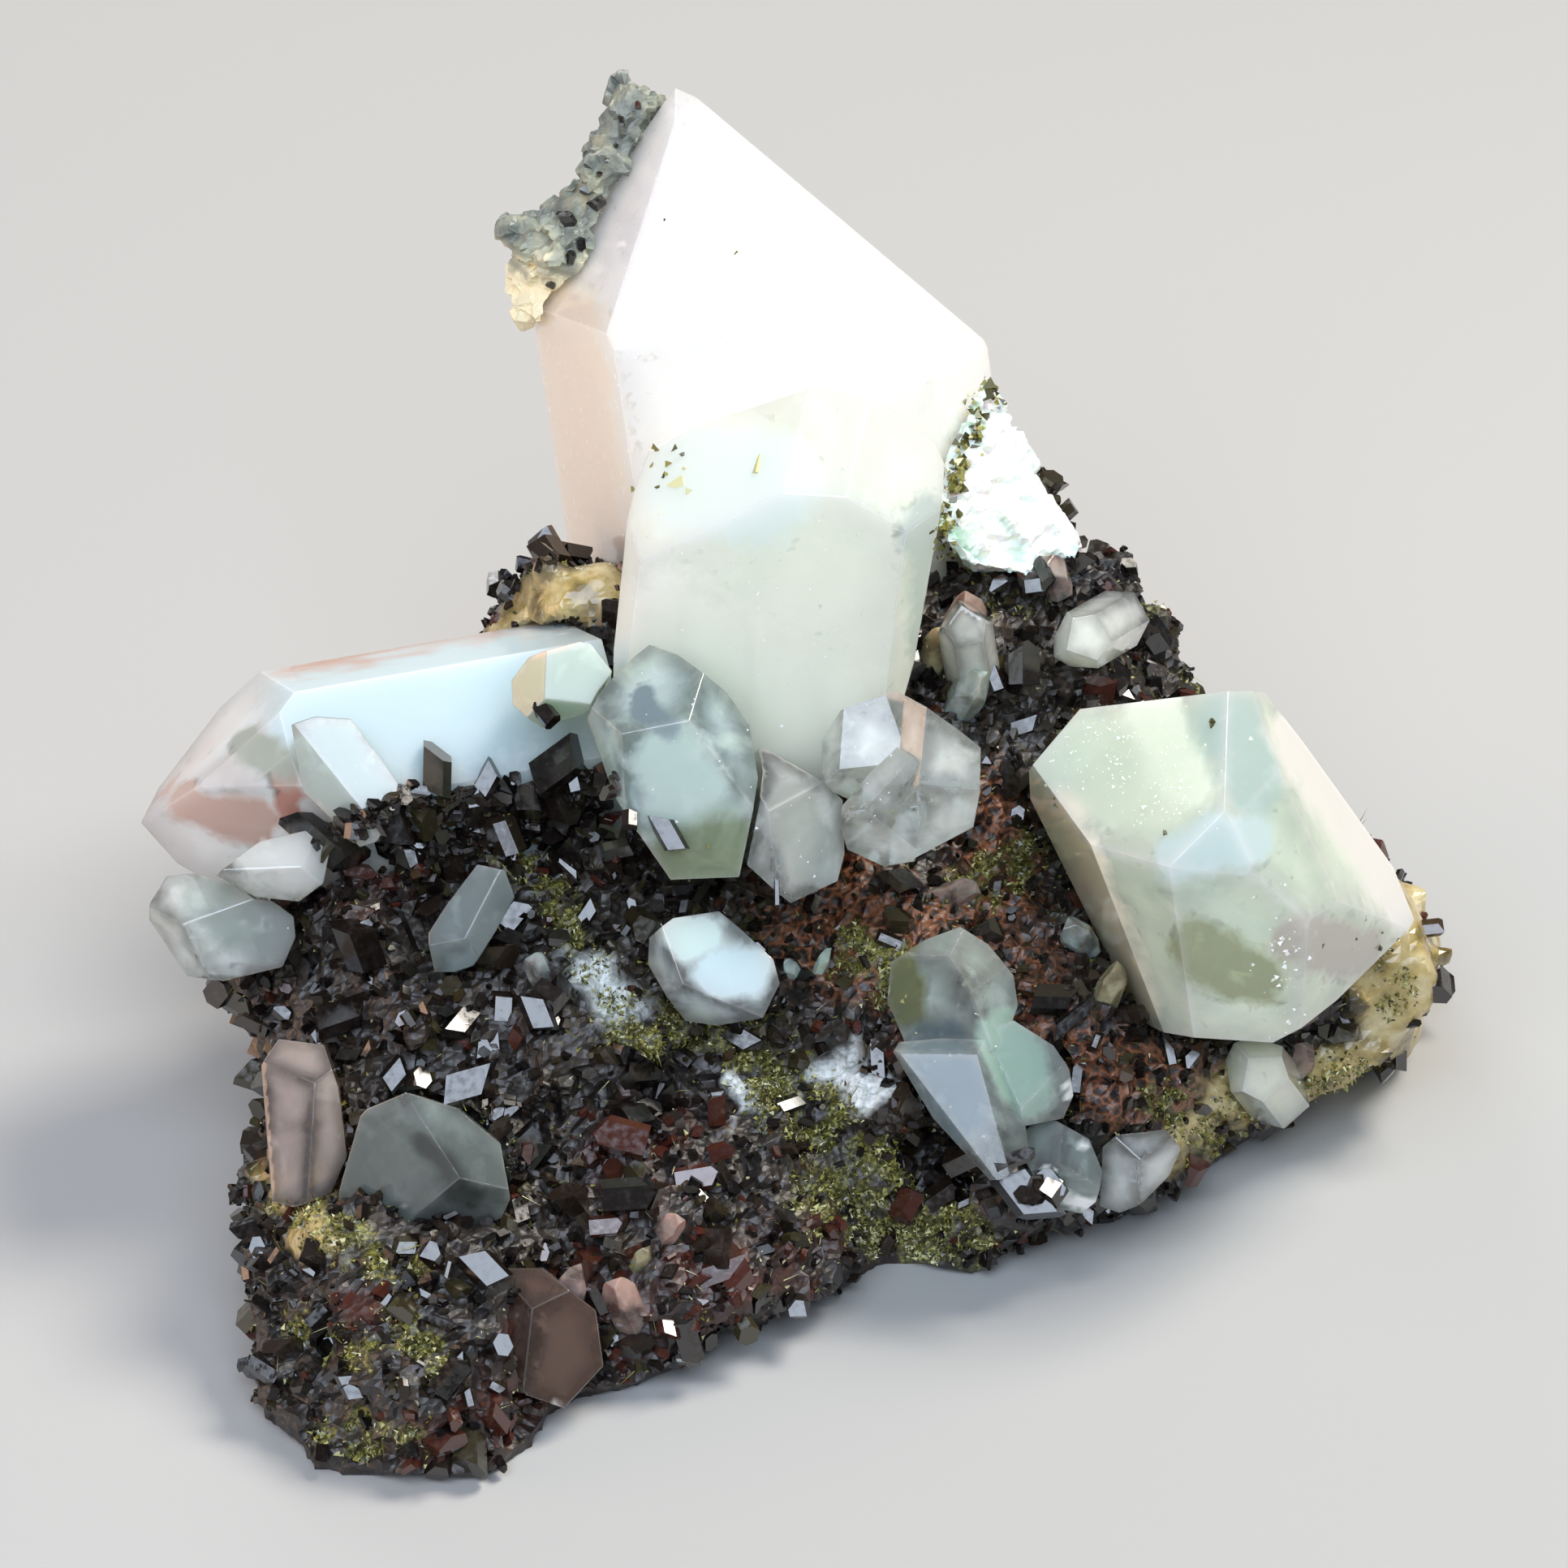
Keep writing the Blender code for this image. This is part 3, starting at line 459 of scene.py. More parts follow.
def paint_rock(mesh):
    """Stores how much of each stain every point of the rock has: as the front shows, and by chance behind."""
    values = {name: [] for name in STAINS}
    for vert in mesh.vertices:
        spot = pictured(vert.co)
        blur = noise.noise_vector(vert.co / (2.2 * MM)) * 1.3
        spot = (spot[0] + blur.x, spot[1] + blur.y)
        wide = noise.noise(vert.co / (7 * MM)) * 4
        patch = 0.2 + 0.8 * float(eased(noise.noise(vert.co / (1.1 * MM)), -0.35, 0.1))
        behind = min(max((vert.co.y / MM - 8) / 8, 0), 1)
        chance = {"moss": wide - 1.1, "rust": -wide - 1.4, "red": -wide - 0.8, "pale": 0, "ochre": 0}
        for name, bands in STAINS.items():
            shown = band_weight(spot, bands) * (1 - behind)
            amount = max(shown, min(max(chance[name], 0), 1) * behind)
            values[name].append(amount * patch if name == "moss" else amount)
    for name in STAINS:
        mesh.attributes.new(name, "FLOAT", "POINT").data.foreach_set("value", values[name])


def epidote_rock_material(look):
    """Massive epidote rock: a dark, fine, glassy-grained mass, with rust and yellow-green stains."""
    made, tree, shader = new_material("epidote_rock")
    place = node(tree, "ShaderNodeTexCoord").outputs["Object"]
    grain = node(tree, "ShaderNodeTexVoronoi", {"Vector": place, "Scale": 1 / (0.6 * MM)}).outputs["Distance"]
    mottle = node(tree, "ShaderNodeTexNoise", {"Vector": place, "Scale": 1 / (1.8 * MM), "Detail": 6.0}).outputs["Fac"]
    # Limonite is porous: an orange-brown web round dark holes of about 0.8 mm.
    web = node(
        tree, "ShaderNodeTexVoronoi", {"Vector": place, "Scale": 1 / (0.8 * MM)}, feature="DISTANCE_TO_EDGE"
    ).outputs["Distance"]
    velvet = node(tree, "ShaderNodeTexNoise", {"Vector": place, "Scale": 1 / (0.25 * MM), "Detail": 2.0}).outputs["Fac"]
    ragged = node(tree, "ShaderNodeMath", {0: velvet, 1: 0.3, 2: web}, operation="MULTIPLY_ADD").outputs[0]
    ramps = {
        "base": (mottle, [(0.3, linear("#0E0A08")), (0.55, tuple(look.dark)), (0.75, linear("#42382A"))]),
        "rust": (ragged, [(0.16, tuple(look.rust)), (0.27, linear("#55301C")), (0.42, linear("#1C110C"))]),
        "red": (mottle, [(0.35, linear("#170D0A")), (0.55, linear("#35190F")), (0.75, linear("#54291C"))]),
        "moss": (velvet, [(0.35, linear("#211F0D")), (0.52, tuple(look.moss)), (0.68, linear("#A39F52"))]),
        "pale": (velvet, [(0.3, linear("#B9C0BC")), (0.6, linear("#F2F5F2"))]),
        "ochre": (mottle, [(0.3, linear("#857441")), (0.5, tuple(look.ochre)), (0.7, linear("#D6C9A0"))]),
    }
    colour = None
    for name, (value, ramp) in ramps.items():
        layer = node(tree, "ShaderNodeValToRGB", {"Fac": value}, ramp).outputs["Color"]
        if colour is None:
            colour = layer
            continue
        amount = node(tree, "ShaderNodeAttribute", attribute_name=name).outputs["Fac"]
        amount = node(tree, "ShaderNodeMath", {0: amount, 1: mottle}, operation="MULTIPLY").outputs[0]
        amount = node(tree, "ShaderNodeMapRange", {
            "Value": amount, "From Min": 0.12, "From Max": 0.45, "To Min": 0, "To Max": 1,
        }).outputs["Result"]
        colour = node(tree, "ShaderNodeMix", {0: amount, 6: colour, 7: layer}, data_type="RGBA").outputs[2]
    # The ochre crust is smooth and has a wet shine.
    crust = node(tree, "ShaderNodeAttribute", attribute_name="ochre").outputs["Fac"]
    relief = node(tree, "ShaderNodeMath", {0: crust, 1: -0.75, 2: 0.8}, operation="MULTIPLY_ADD").outputs[0]
    dull = node(tree, "ShaderNodeMath", {0: crust, 1: -0.25, 2: 0.5}, operation="MULTIPLY_ADD").outputs[0]
    bump = node(tree, "ShaderNodeBump", {"Height": grain, "Distance": 0.25 * MM, "Strength": relief}).outputs["Normal"]
    tree.links.new(colour, shader.inputs["Base Color"])
    tree.links.new(bump, shader.inputs["Normal"])
    tree.links.new(dull, shader.inputs["Roughness"])
    shader.inputs["IOR"].default_value = EPIDOTE_IOR
    return made


class SPECIMEN_OT_rock(bpy.types.Operator):
    """Builds the epidote rock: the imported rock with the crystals' feet filled in, roughened and stained"""

    bl_idname = "specimen.rock"
    bl_label = "Epidote rock"

    def execute(self, context):
        look = context.scene.specimen_rock
        rock = node_copy("epidote_matrix")
        tree = BVHTree.FromBMesh(rock)
        dice = random.Random(2)
        scratch = bpy.data.meshes.new("scratch")
        for name in QUARTZ_NODES:
            foot = foot_of(name, tree, dice)
            if foot:
                foot.to_mesh(scratch)
                foot.free()
                rock.from_mesh(scratch)
        bpy.data.meshes.remove(scratch)
        bm = fused(rock, look.grain)
        push(bm, rock_height)
        piece = new_piece("rock_body", bm, epidote_rock_material(look), "epidote_rock", "epidote_matrix")
        paint_rock(piece.data)
        return {"FINISHED"}


# Epidote crystals that stand out on the front: where, length and width in millimetres, and how far
# each leans to the right and upwards. The bright ones turn a broad side to the sky light, the dark
# ones turn theirs much the same way with a wide scatter, and the stained ones are red-brown.
BRIGHT = (
    ((-16.4, 0.2), 1.6, 1.2, (0.2, 0.5)),
    ((-12.0, -1.6), 2.2, 1.9, (0.25, 0.9)),
    ((-6.4, -2.8), 2.2, 1.2, (-0.5, 0.8)),
    ((-10.9, -7.2), 1.3, 0.9, (0.5, 0.8)),
    ((-8.4, -6.9), 1.3, 0.8, (-0.2, 0.9)),
    ((-20.3, -8.4), 2.3, 1.0, (-0.2, 0.9)),
    ((-13.6, -12.8), 2.0, 1.5, (-0.3, 0.7)),
    ((-21.6, -16.2), 1.5, 1.2, (0.5, 0.6)),
    ((-16.6, -26.9), 2.2, 1.7, (-0.5, 0.6)),
    ((-19.0, -29.9), 1.8, 0.6, (0.9, -0.3)),
    ((16.0, -13.0), 2.8, 0.9, (0.8, 0.6)),
    ((14.8, -22.2), 2.0, 1.7, (0.5, -0.6)),
    ((12.8, -20.8), 2.6, 1.1, (0.9, 0.5)),
    ((11.6, 5.9), 2.0, 1.0, (-0.3, 0.9)),
    ((13.3, 3.2), 1.6, 1.1, (0.9, 0.3)),
    ((16.2, -16.4), 1.8, 0.9, (0.1, 1.0)),
    ((21.5, -15.4), 2.4, 0.6, (-0.2, 1.0)),
    ((5.2, -15.4), 1.7, 1.0, (-0.1, 0.9)),
    ((-0.4, -5.8), 2.1, 0.35, (0.0, 1.0)),
    ((5.5, -5.6), 1.6, 1.0, (0.7, -0.4)),
)
DARK = (
    ((-25.2, -3.2), 3.8, 2.2, (-0.5, 0.9)),
    ((-19.2, 0.6), 2.4, 1.7, (-0.1, 0.9)),
    ((-12.6, 0.9), 3.0, 2.2, (0.3, 0.8)),
    ((-17.4, -16.8), 2.6, 2.2, (0.8, 0.3)),
    ((-8.6, -22.8), 3.2, 2.2, (0.9, 0.0)),
    ((-13.2, 3.9), 1.7, 1.3, (-0.6, 0.6)),
    ((13.2, 6.6), 2.8, 2.4, (0.3, 0.6)),
    ((15.0, -12.0), 2.6, 1.8, (0.7, 0.7)),
    ((13.4, -22.8), 3.0, 2.2, (0.5, -0.6)),
    ((-23.5, -9.0), 3.0, 2.2, (-0.3, 0.6)),
    ((-24.6, -13.0), 3.0, 2.0, (0.6, 0.6)),
    ((-21.8, -2.0), 3.0, 1.7, (-0.3, 0.9)),
    ((-17.0, -1.4), 2.2, 1.6, (0.3, 0.8)),
    ((-14.4, -0.8), 2.3, 1.8, (-0.2, 0.9)),
    ((-11.6, 0.4), 2.0, 1.6, (0.4, 0.8)),
)
STAINED = (
    ((-9.0, -19.6), 3.2, 2.4, (-0.8, 0.2)),
    ((-4.8, -21.9), 2.6, 1.8, (0.8, 0.2)),
    ((-3.4, -20.4), 1.6, 1.3, (0.9, 0.3)),
    ((-9.8, -24.5), 2.0, 1.4, (0.9, 0.1)),
    ((-3.5, -27.0), 2.6, 1.4, (0.9, 0.3)),
    ((-23.4, -4.9), 2.0, 1.1, (0.9, -0.2)),
)
# Halfway between the view and the sky light: a face turned this way mirrors the light at the viewer.
# Where rock and crystals climb over the foot of the left crystal: two ends of a band in millimetres
# of the view, its half width and how many crystals.
CLIMBING = (
    ((-26.0, -3.0), (-20.4, -1.4), 0.9, 80),
    ((-20.8, -1.6), (-13.0, -0.8), 1.2, 170),
    ((-13.0, 0.0), (-10.2, -0.8), 1.4, 80),
    ((-16.0, -2.8), (-10.0, -2.6), 1.0, 60),
    ((-22.0, -3.2), (-15.0, -3.0), 1.1, 130),
)
GLINT = (VIEW_OUT + Vector((-0.085, -0.675, 0.731))).normalized()


def epidote_form(sides, width, ends, name):
    """One epidote crystal 1 unit long: a prism with these sides, as angle and reach, and slanting ends."""
    bm = bmesh.new()
    bmesh.ops.create_cube(bm, size=3)
    planes = [(Vector((math.cos(math.radians(a)), math.sin(math.radians(a)), 0)), reach * width) for a, reach in sides]
    planes += [(Vector(lean).normalized(), reach) for lean, reach in ends]
    for way, reach in planes:
        whole = bm.verts[:] + bm.edges[:] + bm.faces[:]
        sliced = bmesh.ops.bisect_plane(bm, geom=whole, plane_co=way * reach, plane_no=way, clear_outer=True)
        rim = [item for item in sliced["geom_cut"] if isinstance(item, bmesh.types.BMEdge)]
        bmesh.ops.edgeloop_fill(bm, edges=rim)
    mesh = bpy.data.meshes.new(name)
    bm.to_mesh(mesh)
    bm.free()
    return mesh


def epidote_forms():
    """A few epidote habits, the first with the broadest sides."""
    flat, slant, roof = (0, 0, 1), (0.1, 0.42, 0.9), (-0.2, -0.5, 0.83)
    tabular = ((0, 0.36), (66, 0.5), (118, 0.46), (180, 0.36), (246, 0.5), (298, 0.46))
    stout = ((0, 0.5), (64, 0.43), (116, 0.40), (180, 0.5), (244, 0.43), (296, 0.40))
    return [
        epidote_form(tabular, 1.0, [(slant, 0.44), ((0, -0.25, -0.97), 0.45)], "tabular_epidote"),
        epidote_form(stout, 0.55, [(slant, 0.40), (roof, 0.42), ((0, 0, -1), 0.5)], "slender_epidote"),
        epidote_form(stout, 0.8, [(slant, 0.36), ((-0.1, -0.5, -0.85), 0.38)], "slanting_epidote"),
        epidote_form(stout, 0.95, [(flat, 0.45), (roof, 0.44), ((0, 0, -1), 0.45)], "stout_epidote"),
        epidote_form(tabular, 0.8, [(slant, 0.42), (roof, 0.36), ((0, 0, -1), 0.45)], "peaked_epidote"),
    ]


def gather(forms, places):
    """One bmesh of many copies of the forms: places are (form number, matrix, tone)."""
    whole, batch = bmesh.new(), bmesh.new()
    scratch = bpy.data.meshes.new("scratch")
    for number, (form, matrix, _) in enumerate(places, 1):
        forms[form].transform(matrix)
        batch.from_mesh(forms[form])
        forms[form].transform(matrix.inverted())
        if number % 150 == 0 or number == len(places):
            batch.to_mesh(scratch)
            whole.from_mesh(scratch)
            batch.clear()
    batch.free()
    bpy.data.meshes.remove(scratch)
    return whole


def rock_surface():
    """The rock's faces outside the quartz: centre, normal, area, stains and nearness to a quartz crystal."""
    mesh = bpy.data.objects["rock_body"].data
    quartz = quartz_tree()
    values = {}
    for name in STAINS:
        values[name] = np.empty(len(mesh.vertices), np.float32)
        mesh.attributes[name].data.foreach_get("value", values[name])
    found = []
    for face in mesh.polygons:
        centre, corner = face.center, face.vertices[0]
        if centre.z < 0.6 * MM:
            continue
        place, normal, _, away = quartz.find_nearest(centre)
        if (centre - place).dot(normal) < -0.35 * MM:
            continue
        stains = {name: float(values[name][corner]) for name in STAINS}
        stains["collar"] = math.exp(-((away / (0.9 * MM)) ** 2))
        found.append((centre.copy(), face.normal.copy(), face.area, stains))
    return found


def scatter(faces, cover, count, length, spread, tilt, sink, forms, dice, glints=0.0):
    """Places for count crystals on the faces: (form, matrix, tone), uneven in length, tilt and turn.

    cover says how densely a place with these stains is covered, and glints is the share of crystals
    whose broad side catches the sky light.
    """
    weights = [area * max(cover(stains), 0) for _, _, area, stains in faces]
    made = []
    for centre, normal, _, stains in dice.choices(faces, weights, k=count):
        size = length * math.exp(min(dice.gauss(0, spread), 1.4 * spread))
        lean = Vector([dice.gauss(0, tilt) for _ in range(3)])
        jitter = Vector([dice.uniform(-0.25, 0.25) for _ in range(3)]) * MM
        axis = (normal + lean).normalized()
        broad, form = size * dice.uniform(0.7, 1.1), dice.choice(forms)
        shape = Matrix.Diagonal((broad, broad * dice.uniform(0.7, 1.0), size, 1))
        place = centre + jitter + axis * size * sink
        place.z = max(place.z, 0.75 * max(broad, size))
        tone = dice.uniform(0.95, 1) if dice.random() < 0.4 * stains["red"] else dice.random()
        if dice.random() < glints:
            side = (GLINT + Vector([dice.gauss(0, 0.25) for _ in range(3)])).normalized()
            made.append((0, upright(place, axis, side) @ shape, tone))
        else:
            turn = axis.to_track_quat("Z", "Y").to_matrix().to_4x4()
            turn = Matrix.Translation(place) @ turn @ Matrix.Rotation(dice.uniform(0, math.tau), 4, "Z")
            made.append((form, turn @ shape, tone))
    return made


def upright(place, axis, side):
    """Turns a form so that its X side faces one way and its length lies as near the axis as it can."""
    along = (axis - side * axis.dot(side)).normalized()
    across = along.cross(side)
    turn = Matrix((side, across, along)).transposed().to_4x4()
    return Matrix.Translation(place) @ turn


def mark_tones(piece, forms, places):
    """Stores one value for each crystal, for its colour."""
    tones = []
    for form, _, tone in places:
        tones += [tone] * len(forms[form].vertices)
    piece.data.attributes.new("tone", "FLOAT", "POINT").data.foreach_set("value", tones)


def epidote_material(look, name="epidote_crystals", gloss=0.6, rough=0.08):
    """Epidote crystals: dark olive-brown glassy prisms with a high gloss, a few stained red-brown."""
    made, tree, shader = new_material(name)
    tone = node(tree, "ShaderNodeAttribute", attribute_name="tone").outputs["Fac"]
    colour = node(tree, "ShaderNodeValToRGB", {"Fac": tone}, [
        (0.0, linear("#0A0807")), (0.5, tuple(look.dark)), (0.8, linear("#2A2119")), (0.93, linear("#3A351F")),
        (0.955, tuple(look.red)), (1.0, linear("#40231A")),
    ])
    place = node(tree, "ShaderNodeTexCoord").outputs["Object"]
    wear = node(tree, "ShaderNodeTexNoise", {"Vector": place, "Scale": 1 / (0.4 * MM), "Detail": 3.0}).outputs["Fac"]
    rough = node(tree, "ShaderNodeMapRange", {"Value": wear, "From Min": 0.35, "From Max": 0.7, "To Min": rough, "To Max": rough + 0.22})
    bump = node(tree, "ShaderNodeBump", {"Height": wear, "Distance": 0.03 * MM, "Strength": 0.15})
    tree.links.new(colour.outputs["Color"], shader.inputs["Base Color"])
    tree.links.new(rough.outputs["Result"], shader.inputs["Roughness"])
    tree.links.new(bump.outputs["Normal"], shader.inputs["Normal"])
    shader.inputs["IOR"].default_value = EPIDOTE_IOR
    shader.inputs["Specular IOR Level"].default_value = gloss
    return made


def grain_material(look):
    """Granular epidote: tiny yellow-green grains and needles, brighter than the large crystals."""
    made, tree, shader = new_material("granular_epidote")
    tone = node(tree, "ShaderNodeAttribute", attribute_name="tone").outputs["Fac"]
    colour = node(tree, "ShaderNodeValToRGB", {"Fac": tone}, [
        (0.0, linear("#2A2710")), (0.4, linear("#5E5B26")), (0.75, linear("#9D9945")), (1.0, linear("#E2E0AA")),
    ])
    tree.links.new(colour.outputs["Color"], shader.inputs["Base Color"])
    shader.inputs["Roughness"].default_value = 0.3
    shader.inputs["IOR"].default_value = EPIDOTE_IOR
    return made


class SPECIMEN_OT_epidote(bpy.types.Operator):
    """Grows the dark epidote crystals on the rock: the standing-out ones, the large and the small"""

    bl_idname = "specimen.epidote"
    bl_label = "Epidote crystals"

    def execute(self, context):
        look = context.scene.specimen_epidote
        dice = random.Random(look.seed)
        material = epidote_material(look)
        forms = epidote_forms()
        faces = rock_surface()
        front = bmesh.new()
        front.from_mesh(bpy.data.objects["rock_body"].data)
        for name in QUARTZ_NODES:
            front.from_mesh(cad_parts[name].data)
        rock = BVHTree.FromBMesh(front)
        front.free()
        places = []
        for group, swing, tone, facing in (
            (BRIGHT, 0.12, 0.4, GLINT), (DARK, 0.45, 0.4, GLINT), (STAINED, 0.12, 0.97, VIEW_OUT),
        ):
            for (right, up), length, width, lean in group:
                spot = aim_at(rock, right, up)[0]
                axis = (Vector((lean[0], 0, 0)) + VIEW_UP * lean[1] + VIEW_OUT * 0.3).normalized()
                side = (facing + Vector([dice.gauss(0, swing) for _ in range(3)])).normalized()
                shape = Matrix.Diagonal((width * MM, width * MM, length * MM, 1))
                places.append((dice.choice((0, 4)), upright(spot + GLINT * 0.2 * width * MM, axis, side) @ shape, tone))

        habits = range(len(forms))
        for start, end, half, count in CLIMBING:
            for _ in range(count):
                share = dice.random()
                right, up = (a + (b - a) * share + dice.gauss(0, half / 2) for a, b in zip(start, end))
                spot, normal = aim_at(rock, right, up)
                axis = (normal + VIEW_UP + Vector([dice.gauss(0, 0.8) for _ in range(3)])).normalized()
                size = look.small_length * math.exp(dice.gauss(0.45, 0.3))
                turn = axis.to_track_quat("Z", "Y").to_matrix().to_4x4()
                shape = Matrix.Diagonal((size * 0.9, size * 0.7, size, 1))
                places.append((dice.choice(habits), Matrix.Translation(spot) @ turn @ shape, dice.random()))

        def cover(stains):
            bare = (1 - 0.8 * stains["moss"]) * (1 - 0.5 * stains["rust"]) * (1 - 0.95 * stains["pale"])
            return bare * (1 - 0.95 * stains["ochre"]) * (1 + stains["collar"])

        places += scatter(faces, cover, look.large, look.large_length, 0.35, 0.7, 0.05, habits, dice, 0.005)
        self.keep("large_epidote", forms, places, material)
        places = scatter(faces, cover, look.small, look.small_length, 0.35, 0.8, 0.1, habits, dice, 0.005)
        self.keep("small_epidote", forms, places, epidote_material(look, "epidote_grit", 0.2, 0.15))
        return {"FINISHED"}

    def keep(self, name, forms, places, material):
        piece = new_piece(name, gather(forms, places), material, "epidote_rock")
        mark_tones(piece, forms, places)


def aim_at(tree, right, up):
    """What the view meets at a place: the spot, and the way it faces."""
    eye = VIEW_CENTRE + VIEW_OUT * VIEW_DISTANCE
    aim = VIEW_CENTRE + Vector((right * MM, 0, 0)) + VIEW_UP * up * MM
    return tree.ray_cast(eye, (aim - eye).normalized())[:2]


def mesh_lists(mesh):
    return [vert.co.copy() for vert in mesh.vertices], [tuple(face.vertices) for face in mesh.polygons]


def grain_forms():
    """A needle, a prism, a chip and a hair, each 1 unit long and with as few faces as it can have."""
    made = []
    for name, segments, thick in (("needle", 3, 0.16), ("prism", 4, 0.3), ("chip", 3, 0.5), ("hair", 3, 0.03)):
        bm = bmesh.new()
        bmesh.ops.create_cone(bm, cap_ends=True, segments=segments, radius1=thick, radius2=0, depth=1)
        mesh = bpy.data.meshes.new(name)
        bm.to_mesh(mesh)
        bm.free()
        made.append(mesh)
    return made


class SPECIMEN_OT_grains(bpy.types.Operator):
    """Strews yellow-green granular epidote over the mossy bands, and fine hairs over the rock but for the white patches
    and the crust
    """

    bl_idname = "specimen.grains"
    bl_label = "Granular epidote"

    def execute(self, context):
        look = context.scene.specimen_epidote
        dice = random.Random(look.seed + 1)
        forms = grain_forms()
        faces = rock_surface()
        places = scatter(
            faces, lambda stains: stains["moss"] ** 2 + 0.01 + 0.03 * stains["collar"] - 0.02 * stains["ochre"],
            look.grains, look.grain_length, 0.35, 0.9, 0.1, (0, 1, 2), dice,
        )
        places += scatter(faces, lambda stains: 1 - stains["pale"] - stains["ochre"], 900, 1.1 * MM, 0.4, 0.8, 0.3, (3,), dice)
        piece = new_piece("granular_epidote", gather(forms, places), grain_material(look), "epidote_rock")
        mark_tones(piece, forms, places)
        return {"FINISHED"}


# What the front shows on and inside single crystals: a colour, how cloudy it is, two ends of a band in
# millimetres of the view, and its radius. Most are the stone's own colours; those marked below are painted light.
TINTS = {
    # Painted reflection: the peach tint on the left face stands for warm light thrown back from the surroundings onto
    # its shaded side.
    "tall_quartz": (("#F8E6D3", 1.0, (-12.8, 25.0), (-11.0, 10.0), 2.4),),
    "central_quartz": (
        ("#F8F9E8", 1.0, (-6.5, 8.0), (1.0, 3.0), 3.0),
        ("#E6F3EC", 0.9, (-5.0, 17.0), (-1.5, 16.5), 2.6),
        ("#DDEBE2", 0.6, (8.0, 14.5), (8.4, 8.0), 1.2),
    ),
    "left_quartz": (
        ("#BACFD5", 1.0, (-24.0, 4.0), (-13.0, 6.5), 3.8),
        # Painted reflections: this pinkish tint and the next red-brown one stand for reddish surroundings mirrored in
        # the lower face of the tip and in a small facet.
        ("#D2B2A5", 0.7, (-33.2, -1.0), (-29.4, -2.4), 1.0),
        ("#C58876", 0.7, (-27.9, 0.8), (-27.3, -1.8), 0.6),
        ("#C5D0C2", 0.5, (-29.6, 2.0), (-27.6, 1.0), 0.9),
        # Painted reflection: the warm tint along the top stands for warm light thrown back from the surroundings.
        ("#C4937C", 0.8, (-27.0, 7.8), (-13.0, 10.6), 1.4),
    ),
    "right_quartz": (
        ("#D3DFCB", 0.9, (16.0, 1.0), (19.5, 0.5), 2.4),
        ("#DEE8D6", 1.0, (20.6, 3.7), (22.2, 0.3), 1.4),
        ("#CFE4DC", 0.6, (24.4, 3.8), (26.2, 0.3), 1.4),
        ("#D3E6E4", 0.8, (22.0, -4.0), (25.6, -3.0), 1.3),
        # Painted highlight: the right side is made near-white and cloudy where the light falls on it and through it.
        ("#EFEBE4", 0.9, (28.6, 2.6), (35.0, -6.8), 1.4),
        ("#D9E2B4", 0.3, (23.0, -9.2), (26.0, -10.8), 1.3),
        ("#E4DDD0", 0.5, (28.8, -8.6), (31.8, -9.4), 1.3),
        ("#F2ECD6", 1.0, (15.0, -1.6), (19.4, -12.4), 1.2),
    ),
    "blue_green_quartz": (
        ("#A6B6C4", 0.3, (-8.0, 4.6), (-6.6, 3.0), 0.6),
        ("#D0E2DA", 0.8, (-6.2, 0.8), (-5.2, -1.0), 1.8),
        ("#A3AE88", 0.4, (-5.4, -4.6), (-2.8, -3.8), 1.9),
    ),
    "pale_hexagon_quartz": (
        ("#AFC6AC", 0.5, (-13.4, 5.0), (-11.0, 4.6), 2.6),
        ("#E6BFA0", 0.7, (-13.6, 7.2), (-12.2, 7.7), 0.2),
    ),
    "left_small_quartz": (("#C3D4D0", 0.6, (-25.4, 1.2), (-22.6, -2.2), 1.8),),
    # Painted light: a pale cloudy tint that brightens this small clear crystal in place of the light refracted into it.
    "left_lens_quartz": (("#EEF3EC", 0.8, (-29.0, -3.4), (-26.0, -4.2), 1.4),),
    "left_lower_quartz": (("#D3DED6", 0.5, (-31.4, -6.6), (-28.6, -8.0), 1.6),),
    "foot_quartz_left": (("#D5DCD2", 0.5, (0.4, -1.6), (2.0, -4.4), 1.2),),
    "front_hexagon_quartz": (
        ("#D5EFEA", 0.9, (-5.6, -8.6), (-4.4, -8.2), 1.0),
        ("#CFE6EE", 0.9, (-3.4, -10.6), (-2.0, -10.4), 1.2),
    ),
    "front_grey_quartz": (("#AEBCC0", 0.3, (-16.6, -6.0), (-18.4, -9.6), 2.0),),
    "cluster_quartz": (
        ("#9CA273", 0.4, (6.6, -9.6), (7.0, -12.6), 0.8),
        ("#BDDCCB", 0.8, (12.3, -14.0), (13.6, -16.8), 1.3),
        ("#8FA5AD", 0.4, (8.6, -14.6), (9.6, -18.2), 1.5),
    ),
    "shaded_quartz": (
        # Painted shade: both grey tints darken this crystal, which lies in shadow.
        ("#858E88", 0.5, (-23.0, -21.0), (-18.0, -22.5), 2.6),
        ("#4A4D47", 0.4, (-20.0, -20.0), (-17.4, -23.0), 0.6),
    ),
}


